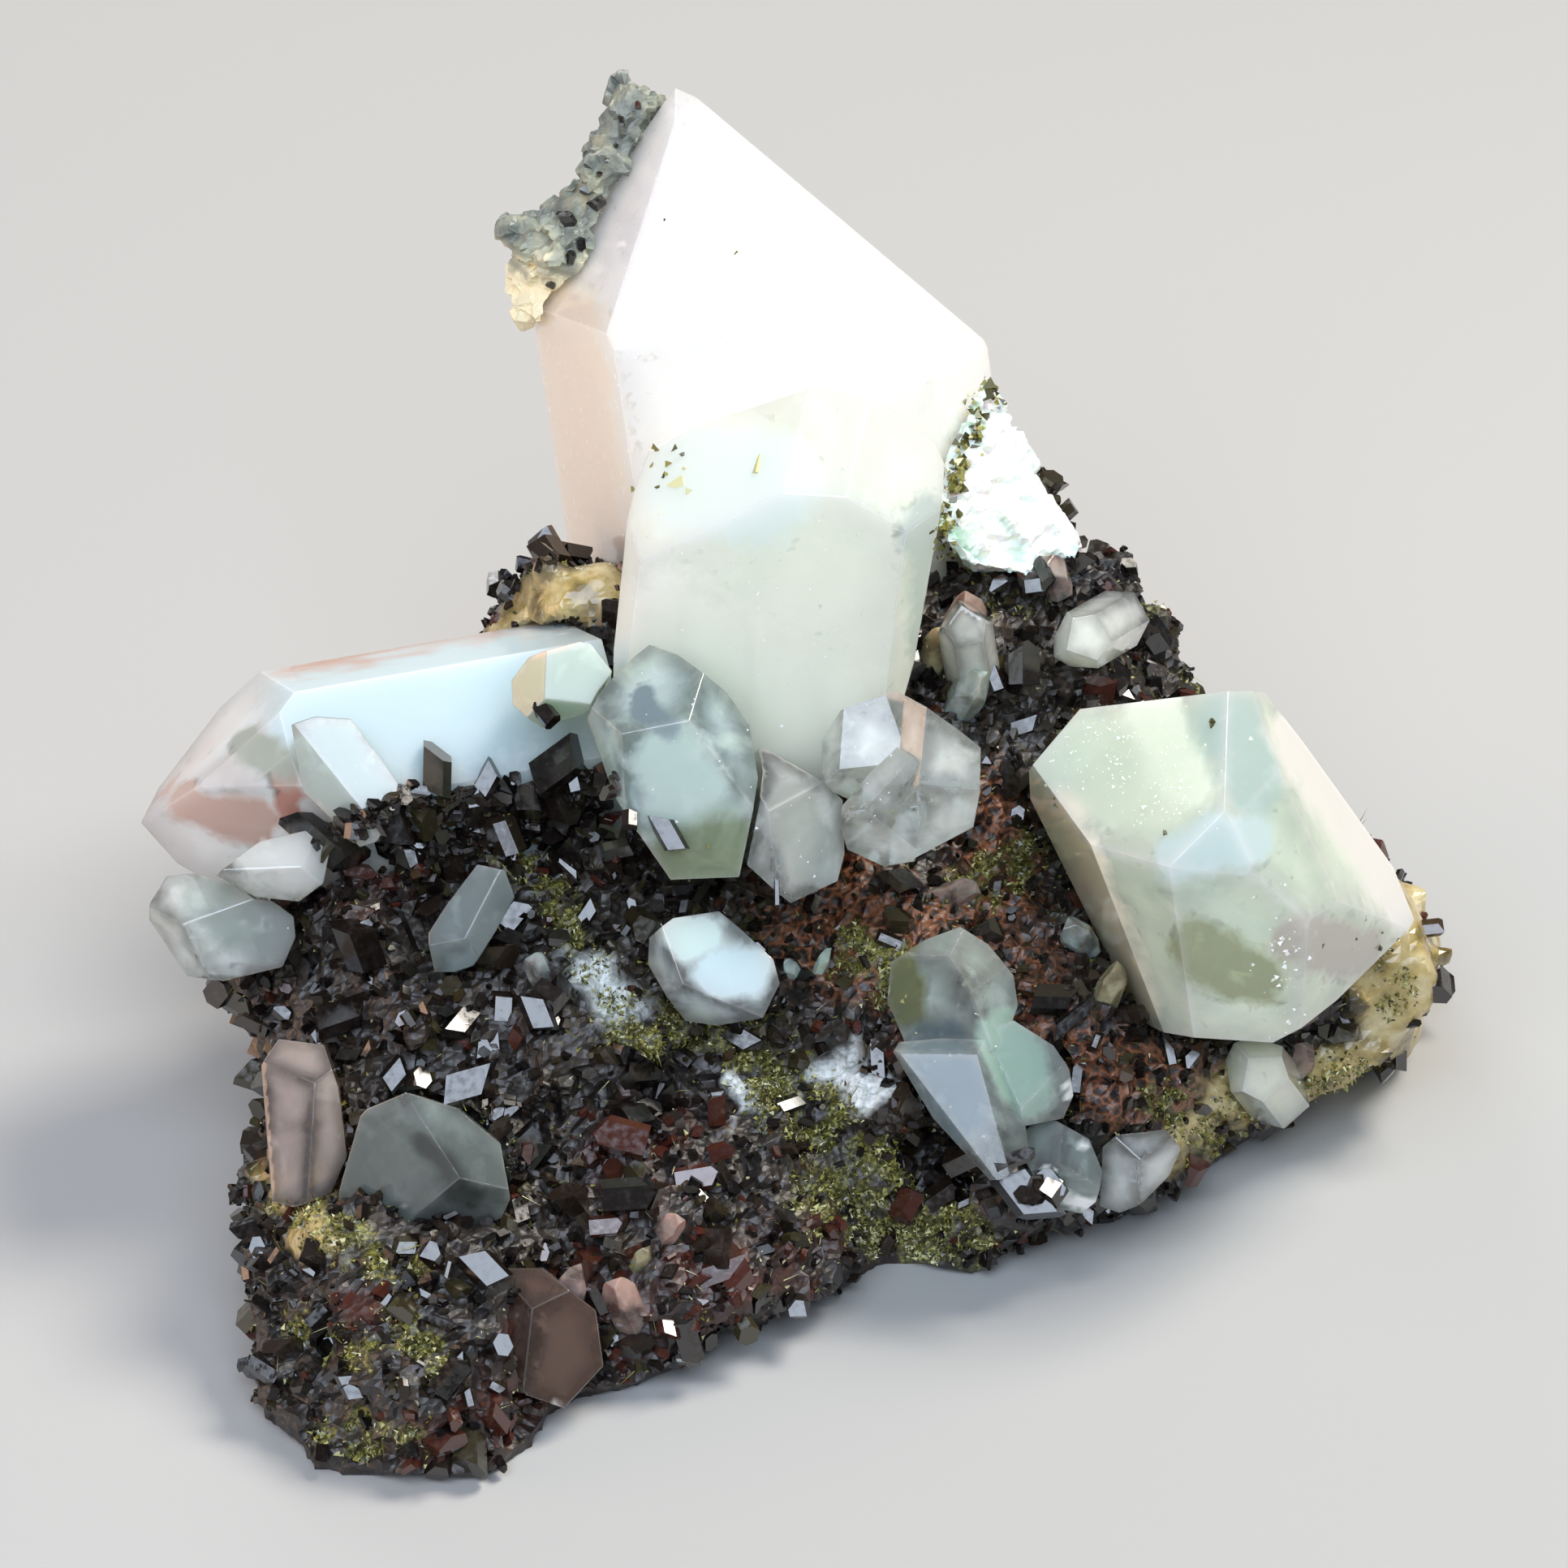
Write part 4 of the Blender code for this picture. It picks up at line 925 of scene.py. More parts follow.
def quartz_material(name, colour, foot, clear, haze, rough=0.25, glow=4.0, cloud=7.0, coat=0.9):
    """Quartz: glassy faces over a body that runs from clear to milky, as fine fluid inclusions cloud it. In
    the clearer crystals the milky haze is partly painted light, brightening them in place of light refracted into them.

    colour runs to foot down the crystal. clear is how much light passes straight through the rims and
    the tip, and haze how much through the core of the foot. glow is how far light wanders inside, and
    cloud how large the milky patches are, in millimetres.
    """
    made, tree, shader = new_material(name)
    place = node(tree, "ShaderNodeTexCoord").outputs["Object"]
    marks = {
        mark: node(tree, "ShaderNodeAttribute", attribute_name=mark)
        for mark in ("grown", "rise", "core", "chip", "buried", "tint", "milk_and_painted_light")
    }
    patches = node(
        tree, "ShaderNodeTexNoise", {"Vector": place, "Scale": 1 / (cloud * MM), "Detail": 4.0, "Distortion": 0.6}
    ).outputs["Fac"]
    fall = node(
        tree, "ShaderNodeMath", {0: marks["rise"].outputs["Fac"], 1: -0.8, 2: 0.65}, operation="MULTIPLY_ADD"
    ).outputs[0]
    blend = node(tree, "ShaderNodeMath", {0: patches, 1: fall}, operation="ADD").outputs[0]
    hue = node(tree, "ShaderNodeValToRGB", {"Fac": blend}, [(0.35, colour), (0.95, foot)]).outputs["Color"]
    inner = node(
        tree, "ShaderNodeMath", {0: marks["core"].outputs["Fac"], 1: 0.45, 2: blend}, operation="MULTIPLY_ADD"
    ).outputs[0]
    passing = node(tree, "ShaderNodeMapRange", {
        "Value": inner, "From Min": 0.4, "From Max": 1.3, "To Min": clear, "To Max": haze,
    }).outputs["Result"]
    cloudy = node(tree, "ShaderNodeMapRange", {
        "Value": marks["milk_and_painted_light"].outputs["Fac"], "From Min": 0, "From Max": 1, "To Min": 0.9, "To Max": haze,
    }).outputs["Result"]
    # Lays the tint bands over the body: the stone's own colours, and among them painted reflections, a painted
    # highlight and painted shade.
    feather = node(
        tree, "ShaderNodeTexNoise", {"Vector": place, "Scale": 1 / (0.9 * MM), "Detail": 5.0, "Distortion": 0.8}
    ).outputs["Fac"]
    strength = node(
        tree, "ShaderNodeMath", {0: feather, 1: 0.7, 2: marks["tint"].outputs["Alpha"]}, operation="MULTIPLY_ADD"
    ).outputs[0]
    strength = node(tree, "ShaderNodeMapRange", {
        "Value": strength, "From Min": 0.45, "From Max": 1.0, "To Min": 0, "To Max": 0.9,
    }).outputs["Result"]
    hue = node(tree, "ShaderNodeMix", {0: strength, 6: hue, 7: marks["tint"].outputs["Color"]}, data_type="RGBA").outputs[2]
    passing = node(tree, "ShaderNodeMix", {0: strength, 2: passing, 3: cloudy}).outputs[0]
    wisps = node(
        tree, "ShaderNodeTexNoise", {"Vector": place, "Scale": 1 / (2.2 * MM), "Detail": 5.0, "Distortion": 0.5}
    ).outputs["Fac"]
    veil = node(tree, "ShaderNodeMapRange", {
        "Value": wisps, "From Min": 0.58, "From Max": 0.72, "To Min": 1, "To Max": 0.7,
    }).outputs["Result"]
    # The chip mark lightens worn edges toward white: partly real chipping, partly a painted highlight along the edges.
    for mark, white, most, left in (
        ("chip", linear("#FFFFFF"), 0.18, 0.85), ("buried", linear("#F6F8F0"), 1.0, 0.0),
    ):
        share = node(tree, "ShaderNodeMath", {0: marks[mark].outputs["Fac"], 1: most}, operation="MULTIPLY").outputs[0]
        hue = node(tree, "ShaderNodeMix", {0: share, 6: hue, 7: white}, data_type="RGBA").outputs[2]
        shut = node(tree, "ShaderNodeMath", {0: share, 1: left - 1, 2: 1.0}, operation="MULTIPLY_ADD").outputs[0]
        veil = node(tree, "ShaderNodeMath", {0: veil, 1: shut}, operation="MULTIPLY").outputs[0]
    passing = node(tree, "ShaderNodeMath", {0: passing, 1: veil}, operation="MULTIPLY", use_clamp=True).outputs[0]
    stretched = node(
        tree, "ShaderNodeMapping", {"Vector": marks["grown"].outputs["Vector"], "Scale": (0.2, 0.2, 2.4)}
    ).outputs["Vector"]
    lines = node(tree, "ShaderNodeTexNoise", {"Vector": stretched, "Scale": 1.0, "Detail": 3.0}).outputs["Fac"]
    swells = node(tree, "ShaderNodeTexNoise", {"Vector": place, "Scale": 1 / (3 * MM), "Detail": 1.0}).outputs["Fac"]
    height = node(tree, "ShaderNodeMix", {0: 0.6, 2: lines, 3: swells}).outputs[0]
    bump = node(tree, "ShaderNodeBump", {"Height": height, "Distance": 0.01 * MM, "Strength": 0.5}).outputs["Normal"]
    pits = node(tree, "ShaderNodeTexNoise", {"Vector": place, "Scale": 1 / (0.8 * MM), "Detail": 4.0}).outputs["Fac"]
    frost = node(tree, "ShaderNodeMapRange", {
        "Value": pits, "From Min": 0.55, "From Max": 0.8, "To Min": rough, "To Max": rough + 0.06,
    }).outputs["Result"]
    frost = node(
        tree, "ShaderNodeMath", {0: marks["chip"].outputs["Fac"], 1: 0.15, 2: frost}, operation="MULTIPLY_ADD"
    ).outputs[0]
    tree.links.new(hue, shader.inputs["Base Color"])
    tree.links.new(passing, shader.inputs["Transmission Weight"])
    tree.links.new(frost, shader.inputs["Roughness"])
    tree.links.new(bump, shader.inputs["Normal"])
    tree.links.new(bump, shader.inputs["Coat Normal"])
    shader.inputs["IOR"].default_value = QUARTZ_IOR
    shader.inputs["Coat Weight"].default_value = coat
    shader.inputs["Coat Roughness"].default_value = 0.04
    shader.inputs["Subsurface Weight"].default_value = 0.8
    shader.inputs["Subsurface Radius"].default_value = (1.0, 1.0, 0.95)
    shader.inputs["Subsurface Scale"].default_value = glow * MM
    return made


def absorb(material, colour, density):
    """Lets a clear stone tint the light that passes through it."""
    tree = material.node_tree
    volume = node(tree, "ShaderNodeVolumeAbsorption", {"Color": colour, "Density": density})
    tree.links.new(volume.outputs["Volume"], tree.nodes["Material Output"].inputs["Volume"])


def quartz_piece(name, nodes, material, slot, edge, rock):
    """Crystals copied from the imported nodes, their edges slightly worn, with the marks of their inside."""
    bm = bmesh.new()
    scratch = bpy.data.meshes.new("scratch")
    for source in nodes:
        one = node_copy(source)
        axis = growth_axis(one)
        edges = np.array([[tuple(vert.co) for vert in line.verts] for line in one.edges])
        size = (edges.max((0, 1)) - edges.min((0, 1))).max()
        bmesh.ops.bevel(
            one, geom=one.edges[:], offset=edge, offset_type="OFFSET", affect="EDGES", segments=2, profile=0.5,
            material=-1, clamp_overlap=True,
        )
        cut_small(one, min(max(size / 26, 0.5 * MM), 1.0 * MM))
        one.to_mesh(scratch)
        one.free()
        mark_crystal(scratch, axis, edges, rock, TINTS.get(source, ()))
        bm.from_mesh(scratch)
        for mark in ("grown", "tint", "rise", "core", "chip", "buried", "milk_and_painted_light"):
            scratch.attributes.remove(scratch.attributes[mark])
    bpy.data.meshes.remove(scratch)
    return new_piece(name, bm, material, slot, *nodes)


class SPECIMEN_OT_quartz(bpy.types.Operator):
    """Builds the quartz crystals, each with its own clearness"""

    bl_idname = "specimen.quartz"
    bl_label = "Quartz crystals"

    def execute(self, context):
        look = context.scene.specimen_quartz
        milky, green, blue = tuple(look.milky), tuple(look.green), tuple(look.blue)
        white = quartz_material("milky_quartz", milky, linear("#FFF6EC"), 0.15, 0.0, glow=7)
        # Painted reflection: the left crystal's bluish foot colour stands for pale blue light mirrored in its front
        # faces.
        pale_with_painted_sky = quartz_material("pale_blue_quartz", linear("#EFEAE6"), linear("#D9EAEC"), 0.45, 0.0, 0.35, 5, coat=0.15)
        cloudy = quartz_material("pale_green_quartz", green, linear("#F9FBEA"), 0.22, 0.0, 0.15, 7, 9)
        hazy = quartz_material("hazy_green_quartz", linear("#DBE8D6"), linear("#E2E8D0"), 0.4, 0.0, 0.07, 6, 4)
        # In the glassy, sea-green and clear crystals the haze is partly painted light: it brightens them in place of
        # the light that refraction carries into them.
        glassy = quartz_material("blue_green_quartz", blue, linear("#D6E9D2"), 0.85, 0.05, 0.04, 4, 3)
        sea = quartz_material("sea_green_quartz", linear("#D2DFDB"), linear("#C5D6CA"), 0.88, 0.25, 0.12, 3, 3, 0.3)
        clear = quartz_material("clear_quartz", linear("#F4F7F1"), linear("#EDF1E4"), 0.88, 0.2, 0.03, 4, 3)
        absorb(clear, linear("#DCE6DE"), 25)
        pinkish = quartz_material("pinkish_quartz", linear("#E9DAD2"), linear("#CDB8AC"), 0.9, 0.4, 0.15, 4, 4)
        brown = quartz_material("smoky_quartz", linear("#A98D7E"), linear("#6E5246"), 0.9, 0.5, 0.2, 4, 4)
        rock = BVHTree.FromPolygons(*mesh_lists(bpy.data.objects["rock_body"].data))
        for name, nodes, material, slot in (
            ("tall_crystal", ["tall_quartz"], white, "milky_quartz"),
            ("left_crystal", ["left_quartz"], pale_with_painted_sky, "milky_quartz"),
            ("central_crystal", ["central_quartz"], cloudy, "pale_green_quartz"),
            ("right_crystals", ["right_quartz"], hazy, "pale_green_quartz"),
            (
                "pale_green_crystals", ["pale_hexagon_quartz", "back_low_quartz", "right_edge_quartz"], hazy,
                "pale_green_quartz",
            ),
            ("blue_green_crystals", ["blue_green_quartz", "front_hexagon_quartz"], glassy, "blue_green_quartz"),
            (
                "sea_green_crystals", ["front_grey_quartz", "cluster_quartz", "shaded_quartz"], sea,
                "blue_green_quartz",
            ),
            (
                "clear_crystals",
                ["foot_quartz_left", "foot_quartz_right", "left_small_quartz", "left_lens_quartz",
                 "left_lower_quartz", "edge_quartz", "shoulder_quartz", "ridge_quartz", "back_right_quartz"],
                clear, "clear_quartz",
            ),
            ("pinkish_crystal", ["left_edge_quartz"], pinkish, "milky_quartz"),
            ("smoky_crystal", ["low_quartz"], brown, "milky_quartz"),
            ("back_crystal", ["back_left_quartz"], white, "milky_quartz"),
        ):
            quartz_piece(name, nodes, material, slot, look.edge, rock)
        return {"FINISHED"}


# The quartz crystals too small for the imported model: where, length and width in millimetres, how far
# each leans to the right and upwards, and its tone, from grey over yellowish to pinkish.
SMALL_QUARTZ = (
    ((17.9, -11.7), 3.6, 1.9, (0.3, 0.9), 0.5),
    ((16.4, -8.7), 2.8, 2.0, (-0.4, 0.6), 0.1),
    ((9.2, -6.3), 3.2, 1.9, (0.9, 0.3), 0.8),
    ((25.4, -15.9), 3.4, 2.6, (-0.2, 0.7), 0.5),
    ((28.1, -15.5), 3.2, 2.4, (0.5, 0.6), 0.9),
    ((-13.5, -10.5), 2.6, 1.8, (-0.3, 0.5), 0.0),
    ((8.3, 7.0), 3.4, 1.7, (0.2, 0.9), 0.5),
    ((10.1, 4.8), 3.4, 2.4, (0.4, 0.7), 0.1),
    ((9.9, 8.6), 3.8, 2.5, (0.2, 0.9), 0.9),
    ((15.0, 11.3), 2.8, 2.0, (-0.3, 0.8), 0.8),
    ((-14.7, 1.8), 3.0, 1.6, (0.2, 0.9), 0.3),
    ((2.0, -10.3), 2.6, 0.9, (0.4, 0.9), 0.3),
    ((0.6, -10.6), 2.0, 1.0, (-0.5, 0.9), 0.1),
    ((-7.9, -26.5), 1.8, 1.2, (0.3, 0.8), 0.5),
    ((-11.9, -28.9), 5.0, 1.9, (0.2, 0.8), 0.85),
    ((-8.6, -29.3), 4.4, 2.2, (-0.3, 0.7), 0.95),
    ((-6.6, -24.9), 2.8, 1.6, (0.5, 0.5), 0.9),
)


def small_quartz_material():
    """Small quartz crystals, half clear, in the greys, yellows and pinks that stains under them give."""
    made, tree, shader = new_material("small_quartz")
    tone = node(tree, "ShaderNodeAttribute", attribute_name="tone").outputs["Fac"]
    colour = node(tree, "ShaderNodeValToRGB", {"Fac": tone}, [
        (0.0, linear("#D4DBD9")), (0.3, linear("#DDE6D3")), (0.5, linear("#E2D4A8")), (0.8, linear("#D8C4BA")),
        (1.0, linear("#C9A79A")),
    ])
    place = node(tree, "ShaderNodeTexCoord").outputs["Object"]
    cloud = node(tree, "ShaderNodeTexNoise", {"Vector": place, "Scale": 1 / (1.5 * MM), "Detail": 3.0}).outputs["Fac"]
    passing = node(tree, "ShaderNodeMapRange", {
        "Value": cloud, "From Min": 0.35, "From Max": 0.65, "To Min": 0.3, "To Max": 0.85,
    }).outputs["Result"]
    tree.links.new(colour.outputs["Color"], shader.inputs["Base Color"])
    tree.links.new(passing, shader.inputs["Transmission Weight"])
    shader.inputs["Roughness"].default_value = 0.1
    shader.inputs["IOR"].default_value = QUARTZ_IOR
    shader.inputs["Subsurface Weight"].default_value = 0.6
    shader.inputs["Subsurface Scale"].default_value = 1.5 * MM
    return made


def quartz_form():
    """A small quartz crystal 1 unit long and wide: a six-sided prism with an uneven six-sided tip."""
    bm = bmesh.new()
    bmesh.ops.create_cone(bm, cap_ends=True, segments=6, radius1=0.5, radius2=0.5, depth=1)
    for step in range(6):
        turn = Matrix.Rotation(step * math.tau / 6 + math.tau / 12, 3, "Z")
        way = turn @ Vector((0.79, 0, 0.61))
        reach = (0.40, 0.52)[step % 2]
        whole = bm.verts[:] + bm.edges[:] + bm.faces[:]
        sliced = bmesh.ops.bisect_plane(bm, geom=whole, plane_co=way * reach, plane_no=way, clear_outer=True)
        rim = [item for item in sliced["geom_cut"] if isinstance(item, bmesh.types.BMEdge)]
        bmesh.ops.edgeloop_fill(bm, edges=rim)
    bmesh.ops.bevel(
        bm, geom=bm.edges[:], offset=0.02, offset_type="OFFSET", affect="EDGES", segments=1, profile=0.5,
        material=-1, clamp_overlap=True,
    )
    mesh = bpy.data.meshes.new("quartz_form")
    bm.to_mesh(mesh)
    bm.free()
    return mesh


class SPECIMEN_OT_small_quartz(bpy.types.Operator):
    """Sets the small quartz crystals among the epidote"""

    bl_idname = "specimen.small_quartz"
    bl_label = "Small quartz crystals"

    def execute(self, context):
        dice = random.Random(11)
        rock = BVHTree.FromPolygons(*mesh_lists(bpy.data.objects["rock_body"].data))
        forms, places = [quartz_form()], []
        for (right, up), length, width, lean, tone in SMALL_QUARTZ:
            spot = aim_at(rock, right, up)[0]
            axis = (Vector((lean[0], 0, 0)) + VIEW_UP * lean[1] + VIEW_OUT * 0.8).normalized()
            shape = Matrix.Diagonal((width * MM, width * MM * dice.uniform(0.75, 1.0), length * MM, 1))
            turn = axis.to_track_quat("Z", "Y").to_matrix().to_4x4()
            turn = turn @ Matrix.Rotation(dice.uniform(0, math.tau), 4, "Z")
            places.append((0, Matrix.Translation(spot + axis * 0.15 * length * MM) @ turn @ shape, tone))
        piece = new_piece("small_quartz", gather(forms, places), small_quartz_material(), "clear_quartz")
        mark_tones(piece, forms, places)
        return {"FINISHED"}


# Specks in and on the quartz as the view shows them: place, spread, depth under the face in
# millimetres, how many, and their length. The green ones are epidote grains, the white ones chips.
GREEN_SPECKS = (
    ((25.2, -10.2), (1.5, 1.3), (0.3, 2.0), 160, 0.35),
    ((20.9, -3.1), (0.25, 0.25), (0.0, 0.3), 7, 0.4),
    ((24.0, 3.6), (0.3, 0.2), (0.0, 0.3), 5, 0.35),
    ((14.7, -1.4), (0.3, 0.6), (0.0, 0.3), 9, 0.4),
    ((-6.2, 17.2), (0.7, 1.1), (-0.1, 0.1), 12, 0.55),
    ((-1.6, 17.8), (0.1, 0.1), (-0.1, 0.1), 2, 0.6),
    ((-6.4, 14.6), (0.8, 0.8), (0.0, 0.5), 10, 0.22),
    ((-4.6, -4.0), (1.3, 0.7), (0.1, 1.0), 60, 0.3),
    ((5.6, -2.0), (1.2, 1.0), (0.1, 1.2), 40, 0.28),
    ((6.8, -12.0), (0.6, 1.4), (0.1, 0.8), 70, 0.3),
    ((10.6, -10.6), (0.6, 1.2), (0.1, 0.8), 50, 0.3),
    ((-6.8, 30.9), (0.5, 0.3), (0.0, 0.3), 6, 0.3),
    ((-2.1, 30.6), (0.5, 0.8), (0.1, 0.6), 9, 0.3),
    ((1.1, 30.0), (0.5, 0.3), (0.1, 0.5), 6, 0.3),
    ((-14.9, 4.1), (0.5, 0.4), (0.1, 0.6), 14, 0.35),
    ((19.4, -13.4), (1.2, 0.5), (0.1, 0.8), 60, 0.3),
    ((33.6, -8.4), (1.4, 1.0), (0.0, 0.4), 40, 0.35),
    ((11.6, 22.2), (0.3, 0.6), (-0.1, 0.2), 40, 0.4),
    ((10.6, 19.8), (0.3, 0.9), (-0.1, 0.2), 60, 0.4),
    ((9.6, 17.2), (0.3, 0.9), (-0.1, 0.2), 60, 0.4),
    ((8.9, 14.0), (0.3, 0.9), (-0.1, 0.2), 60, 0.4),
)
WHITE_SPECKS = (
    ((18.6, 1.8), (2.6, 1.6), (-0.04, 0.06), 260, 0.13),
    ((21.4, -1.2), (1.2, 0.8), (-0.04, 0.06), 70, 0.13),
    ((25.4, -6.4), (2.0, 2.0), (0.0, 0.8), 60, 0.15),
    ((24.6, -9.0), (1.6, 1.0), (0.2, 1.5), 120, 0.16),
    ((27.4, -9.8), (0.8, 1.8), (-0.05, 0.3), 150, 0.2),
    ((1.2, -3.6), (1.3, 2.2), (0.0, 0.8), 200, 0.17),
    ((5.8, -1.0), (2.2, 1.8), (0.0, 0.8), 120, 0.15),
    ((-5.0, 1.8), (1.8, 2.6), (0.0, 0.6), 90, 0.14),
    ((3.6, 15.6), (2.6, 2.0), (-0.04, 0.06), 50, 0.12),
    ((-1.8, 8.6), (4.0, 4.0), (-0.04, 0.06), 90, 0.12),
    ((9.0, -16.0), (1.6, 3.0), (0.0, 0.6), 80, 0.15),
    ((-29.6, -5.2), (1.6, 1.4), (0.0, 0.8), 60, 0.16),
    ((-24.0, 0.0), (1.4, 1.6), (0.0, 0.6), 40, 0.14),
)


def speck_material():
    """White chips and fluid-filled flaws in quartz: bright, fine-grained spots."""
    made, _, shader = new_material("quartz_chips")
    shader.inputs["Base Color"].default_value = linear("#F7F8F4")
    shader.inputs["Roughness"].default_value = 0.3
    shader.inputs["IOR"].default_value = QUARTZ_IOR
    return made


def specks(clusters, tree, dice, forms):
    """Places for the specks of every cluster, found by looking at the quartz from the front."""
    made = []
    for (right, up), (wide, high), (near, deep), count, length in clusters:
        for _ in range(count):
            spot, normal = aim_at(tree, dice.gauss(right, wide), dice.gauss(up, high))
            if spot is None:
                continue
            size = length * MM * math.exp(dice.gauss(0, 0.35))
            place = spot - normal * dice.uniform(near, deep) * MM
            turn = Vector([dice.gauss(0, 1) for _ in range(3)]).to_track_quat("Z", "Y").to_matrix().to_4x4()
            turn = Matrix.Translation(place) @ turn @ Matrix.Scale(size, 4)
            made.append((dice.choice(forms), turn, dice.random()))
    return made


class SPECIMEN_OT_specks(bpy.types.Operator):
    """Puts epidote grains and white chips in and on the quartz"""

    bl_idname = "specimen.specks"
    bl_label = "Specks in the quartz"

    def execute(self, context):
        dice = random.Random(8)
        forms = grain_forms()
        tree = quartz_tree()
        for name, clusters, material, slot in (
            ("green_specks", GREEN_SPECKS, bpy.data.materials["granular_epidote"], "epidote_rock"),
            ("white_specks", WHITE_SPECKS, speck_material(), "white_quartz"),
        ):
            places = specks(clusters, tree, dice, (1, 2))
            piece = new_piece(name, gather(forms, places), material, slot)
            mark_tones(piece, forms, places)
        return {"FINISHED"}


# How many inner flaws each clear crystal has, and how large they are for its thickness.
VEILED = {
    "blue_green_quartz": 5, "foot_quartz_left": 6, "foot_quartz_right": 7, "left_small_quartz": 3,
    "left_lens_quartz": 4, "left_lower_quartz": 4, "front_hexagon_quartz": 3, "front_grey_quartz": 2,
    "cluster_quartz": 9, "edge_quartz": 2, "shaded_quartz": 5, "shoulder_quartz": 3, "ridge_quartz": 2,
    "back_right_quartz": 3, "right_quartz": 8, "pale_hexagon_quartz": 3,
}


def veil_material():
    """Healed fractures in quartz: thin sheets of fluid bubbles that shine white against the clear stone."""
    made, tree, shader = new_material("quartz_veils")
    place = node(tree, "ShaderNodeTexCoord").outputs["Object"]
    bubbles = node(tree, "ShaderNodeTexNoise", {"Vector": place, "Scale": 1 / (0.5 * MM), "Detail": 5.0}).outputs["Fac"]
    passing = node(tree, "ShaderNodeMapRange", {
        "Value": bubbles, "From Min": 0.42, "From Max": 0.6, "To Min": 0.98, "To Max": 0.35,
    }).outputs["Result"]
    tree.links.new(passing, shader.inputs["Transmission Weight"])
    shader.inputs["Base Color"].default_value = linear("#FBFCFC")
    shader.inputs["Roughness"].default_value = 0.15
    shader.inputs["IOR"].default_value = 1.2
    return made


def veil(bm, tree, middle, radius, dice):
    """One wavy thin sheet inside a crystal, or none where it wouldn't fit."""
    made = bmesh.ops.create_circle(bm, cap_ends=True, segments=9, radius=radius)["verts"]
    for vert in made:
        vert.co *= dice.uniform(0.6, 1.1)
    faces = list({face for vert in made for face in vert.link_faces})
    inner = bmesh.ops.inset_region(bm, faces=faces, thickness=radius * 0.35)["faces"]
    bmesh.ops.poke(bm, faces=faces)
    sheet = list({vert for face in inner for vert in face.verts} | set(made))
    sheet = list({other for vert in sheet for edge in vert.link_edges for other in edge.verts})
    for vert in sheet:
        vert.co.z += noise.noise(vert.co / (radius * 0.8)) * radius * 0.25
    turn = Vector([dice.gauss(0, 1) for _ in range(3)]).to_track_quat("Z", "Y").to_matrix().to_4x4()
    bmesh.ops.transform(bm, matrix=Matrix.Translation(middle) @ turn, verts=sheet)
    for vert in sheet:
        place, normal, _, _ = tree.find_nearest(vert.co)
        if (vert.co - place).dot(normal) > -0.12 * MM:
            bmesh.ops.delete(bm, geom=sheet, context="VERTS")
            return
    faces = list({face for vert in sheet for face in vert.link_faces})
    bmesh.ops.solidify(bm, geom=faces, thickness=0.02 * MM)


class SPECIMEN_OT_veils(bpy.types.Operator):
    """Puts thin healed fractures inside the clear crystals"""

    bl_idname = "specimen.veils"
    bl_label = "Veils in the quartz"

    def execute(self, context):
        dice = random.Random(4)
        whole = bmesh.new()
        scratch = bpy.data.meshes.new("scratch")
        for name, count in VEILED.items():
            crystal = node_copy(name)
            tree = BVHTree.FromBMesh(crystal)
            axis = growth_axis(crystal)
            heights = [vert.co.dot(axis) for vert in crystal.verts]
            middle = sum((vert.co for vert in crystal.verts), Vector()) / len(crystal.verts)
            reach = (max(heights) - min(heights)) / 2
            girth = max((vert.co - middle - axis * (vert.co - middle).dot(axis)).length for vert in crystal.verts)
            crystal.free()
            for _ in range(count * 3):
                spot = middle + axis * dice.uniform(-0.6, 0.5) * reach
                spot += Vector([dice.gauss(0, 0.3) for _ in range(3)]) * girth
                sheet = bmesh.new()
                veil(sheet, tree, spot, girth * dice.uniform(0.25, 0.6), dice)
                sheet.to_mesh(scratch)
                sheet.free()
                whole.from_mesh(scratch)
        bpy.data.meshes.remove(scratch)
        new_piece("quartz_veils", whole, veil_material(), "clear_quartz")
        return {"FINISHED"}


def massive_quartz_material():
    """White massive quartz: a sugary, opaque white mass with mint-green stains."""
    made, tree, shader = new_material("massive_quartz")
    place = node(tree, "ShaderNodeTexCoord").outputs["Object"]
    spots = node(tree, "ShaderNodeTexNoise", {"Vector": place, "Scale": 1 / (2.2 * MM), "Detail": 5.0}).outputs["Fac"]
    colour = node(tree, "ShaderNodeValToRGB", {"Fac": spots}, [
        (0.42, linear("#FBFDF8")), (0.6, linear("#E4F5EA")), (0.74, linear("#A9D8BF")),
    ])
    sugar = node(tree, "ShaderNodeTexVoronoi", {"Vector": place, "Scale": 1 / (0.5 * MM)}).outputs["Distance"]
    bump = node(tree, "ShaderNodeBump", {"Height": sugar, "Distance": 0.15 * MM, "Strength": 0.8})
    tree.links.new(colour.outputs["Color"], shader.inputs["Base Color"])
    tree.links.new(bump.outputs["Normal"], shader.inputs["Normal"])
    shader.inputs["Roughness"].default_value = 0.4
    shader.inputs["IOR"].default_value = QUARTZ_IOR
    shader.inputs["Subsurface Weight"].default_value = 0.4
    shader.inputs["Subsurface Scale"].default_value = 1.5 * MM
    return made


def sugar_height(place):
    """How far the broken face of the massive quartz stands out at a place."""
    spots = noise.voronoi(place / (1.1 * MM))[1]
    return ((noise.cell(spots[0] * 5.1) - 0.5) * 0.35 + noise.noise(place / (2.4 * MM)) * 0.45) * MM


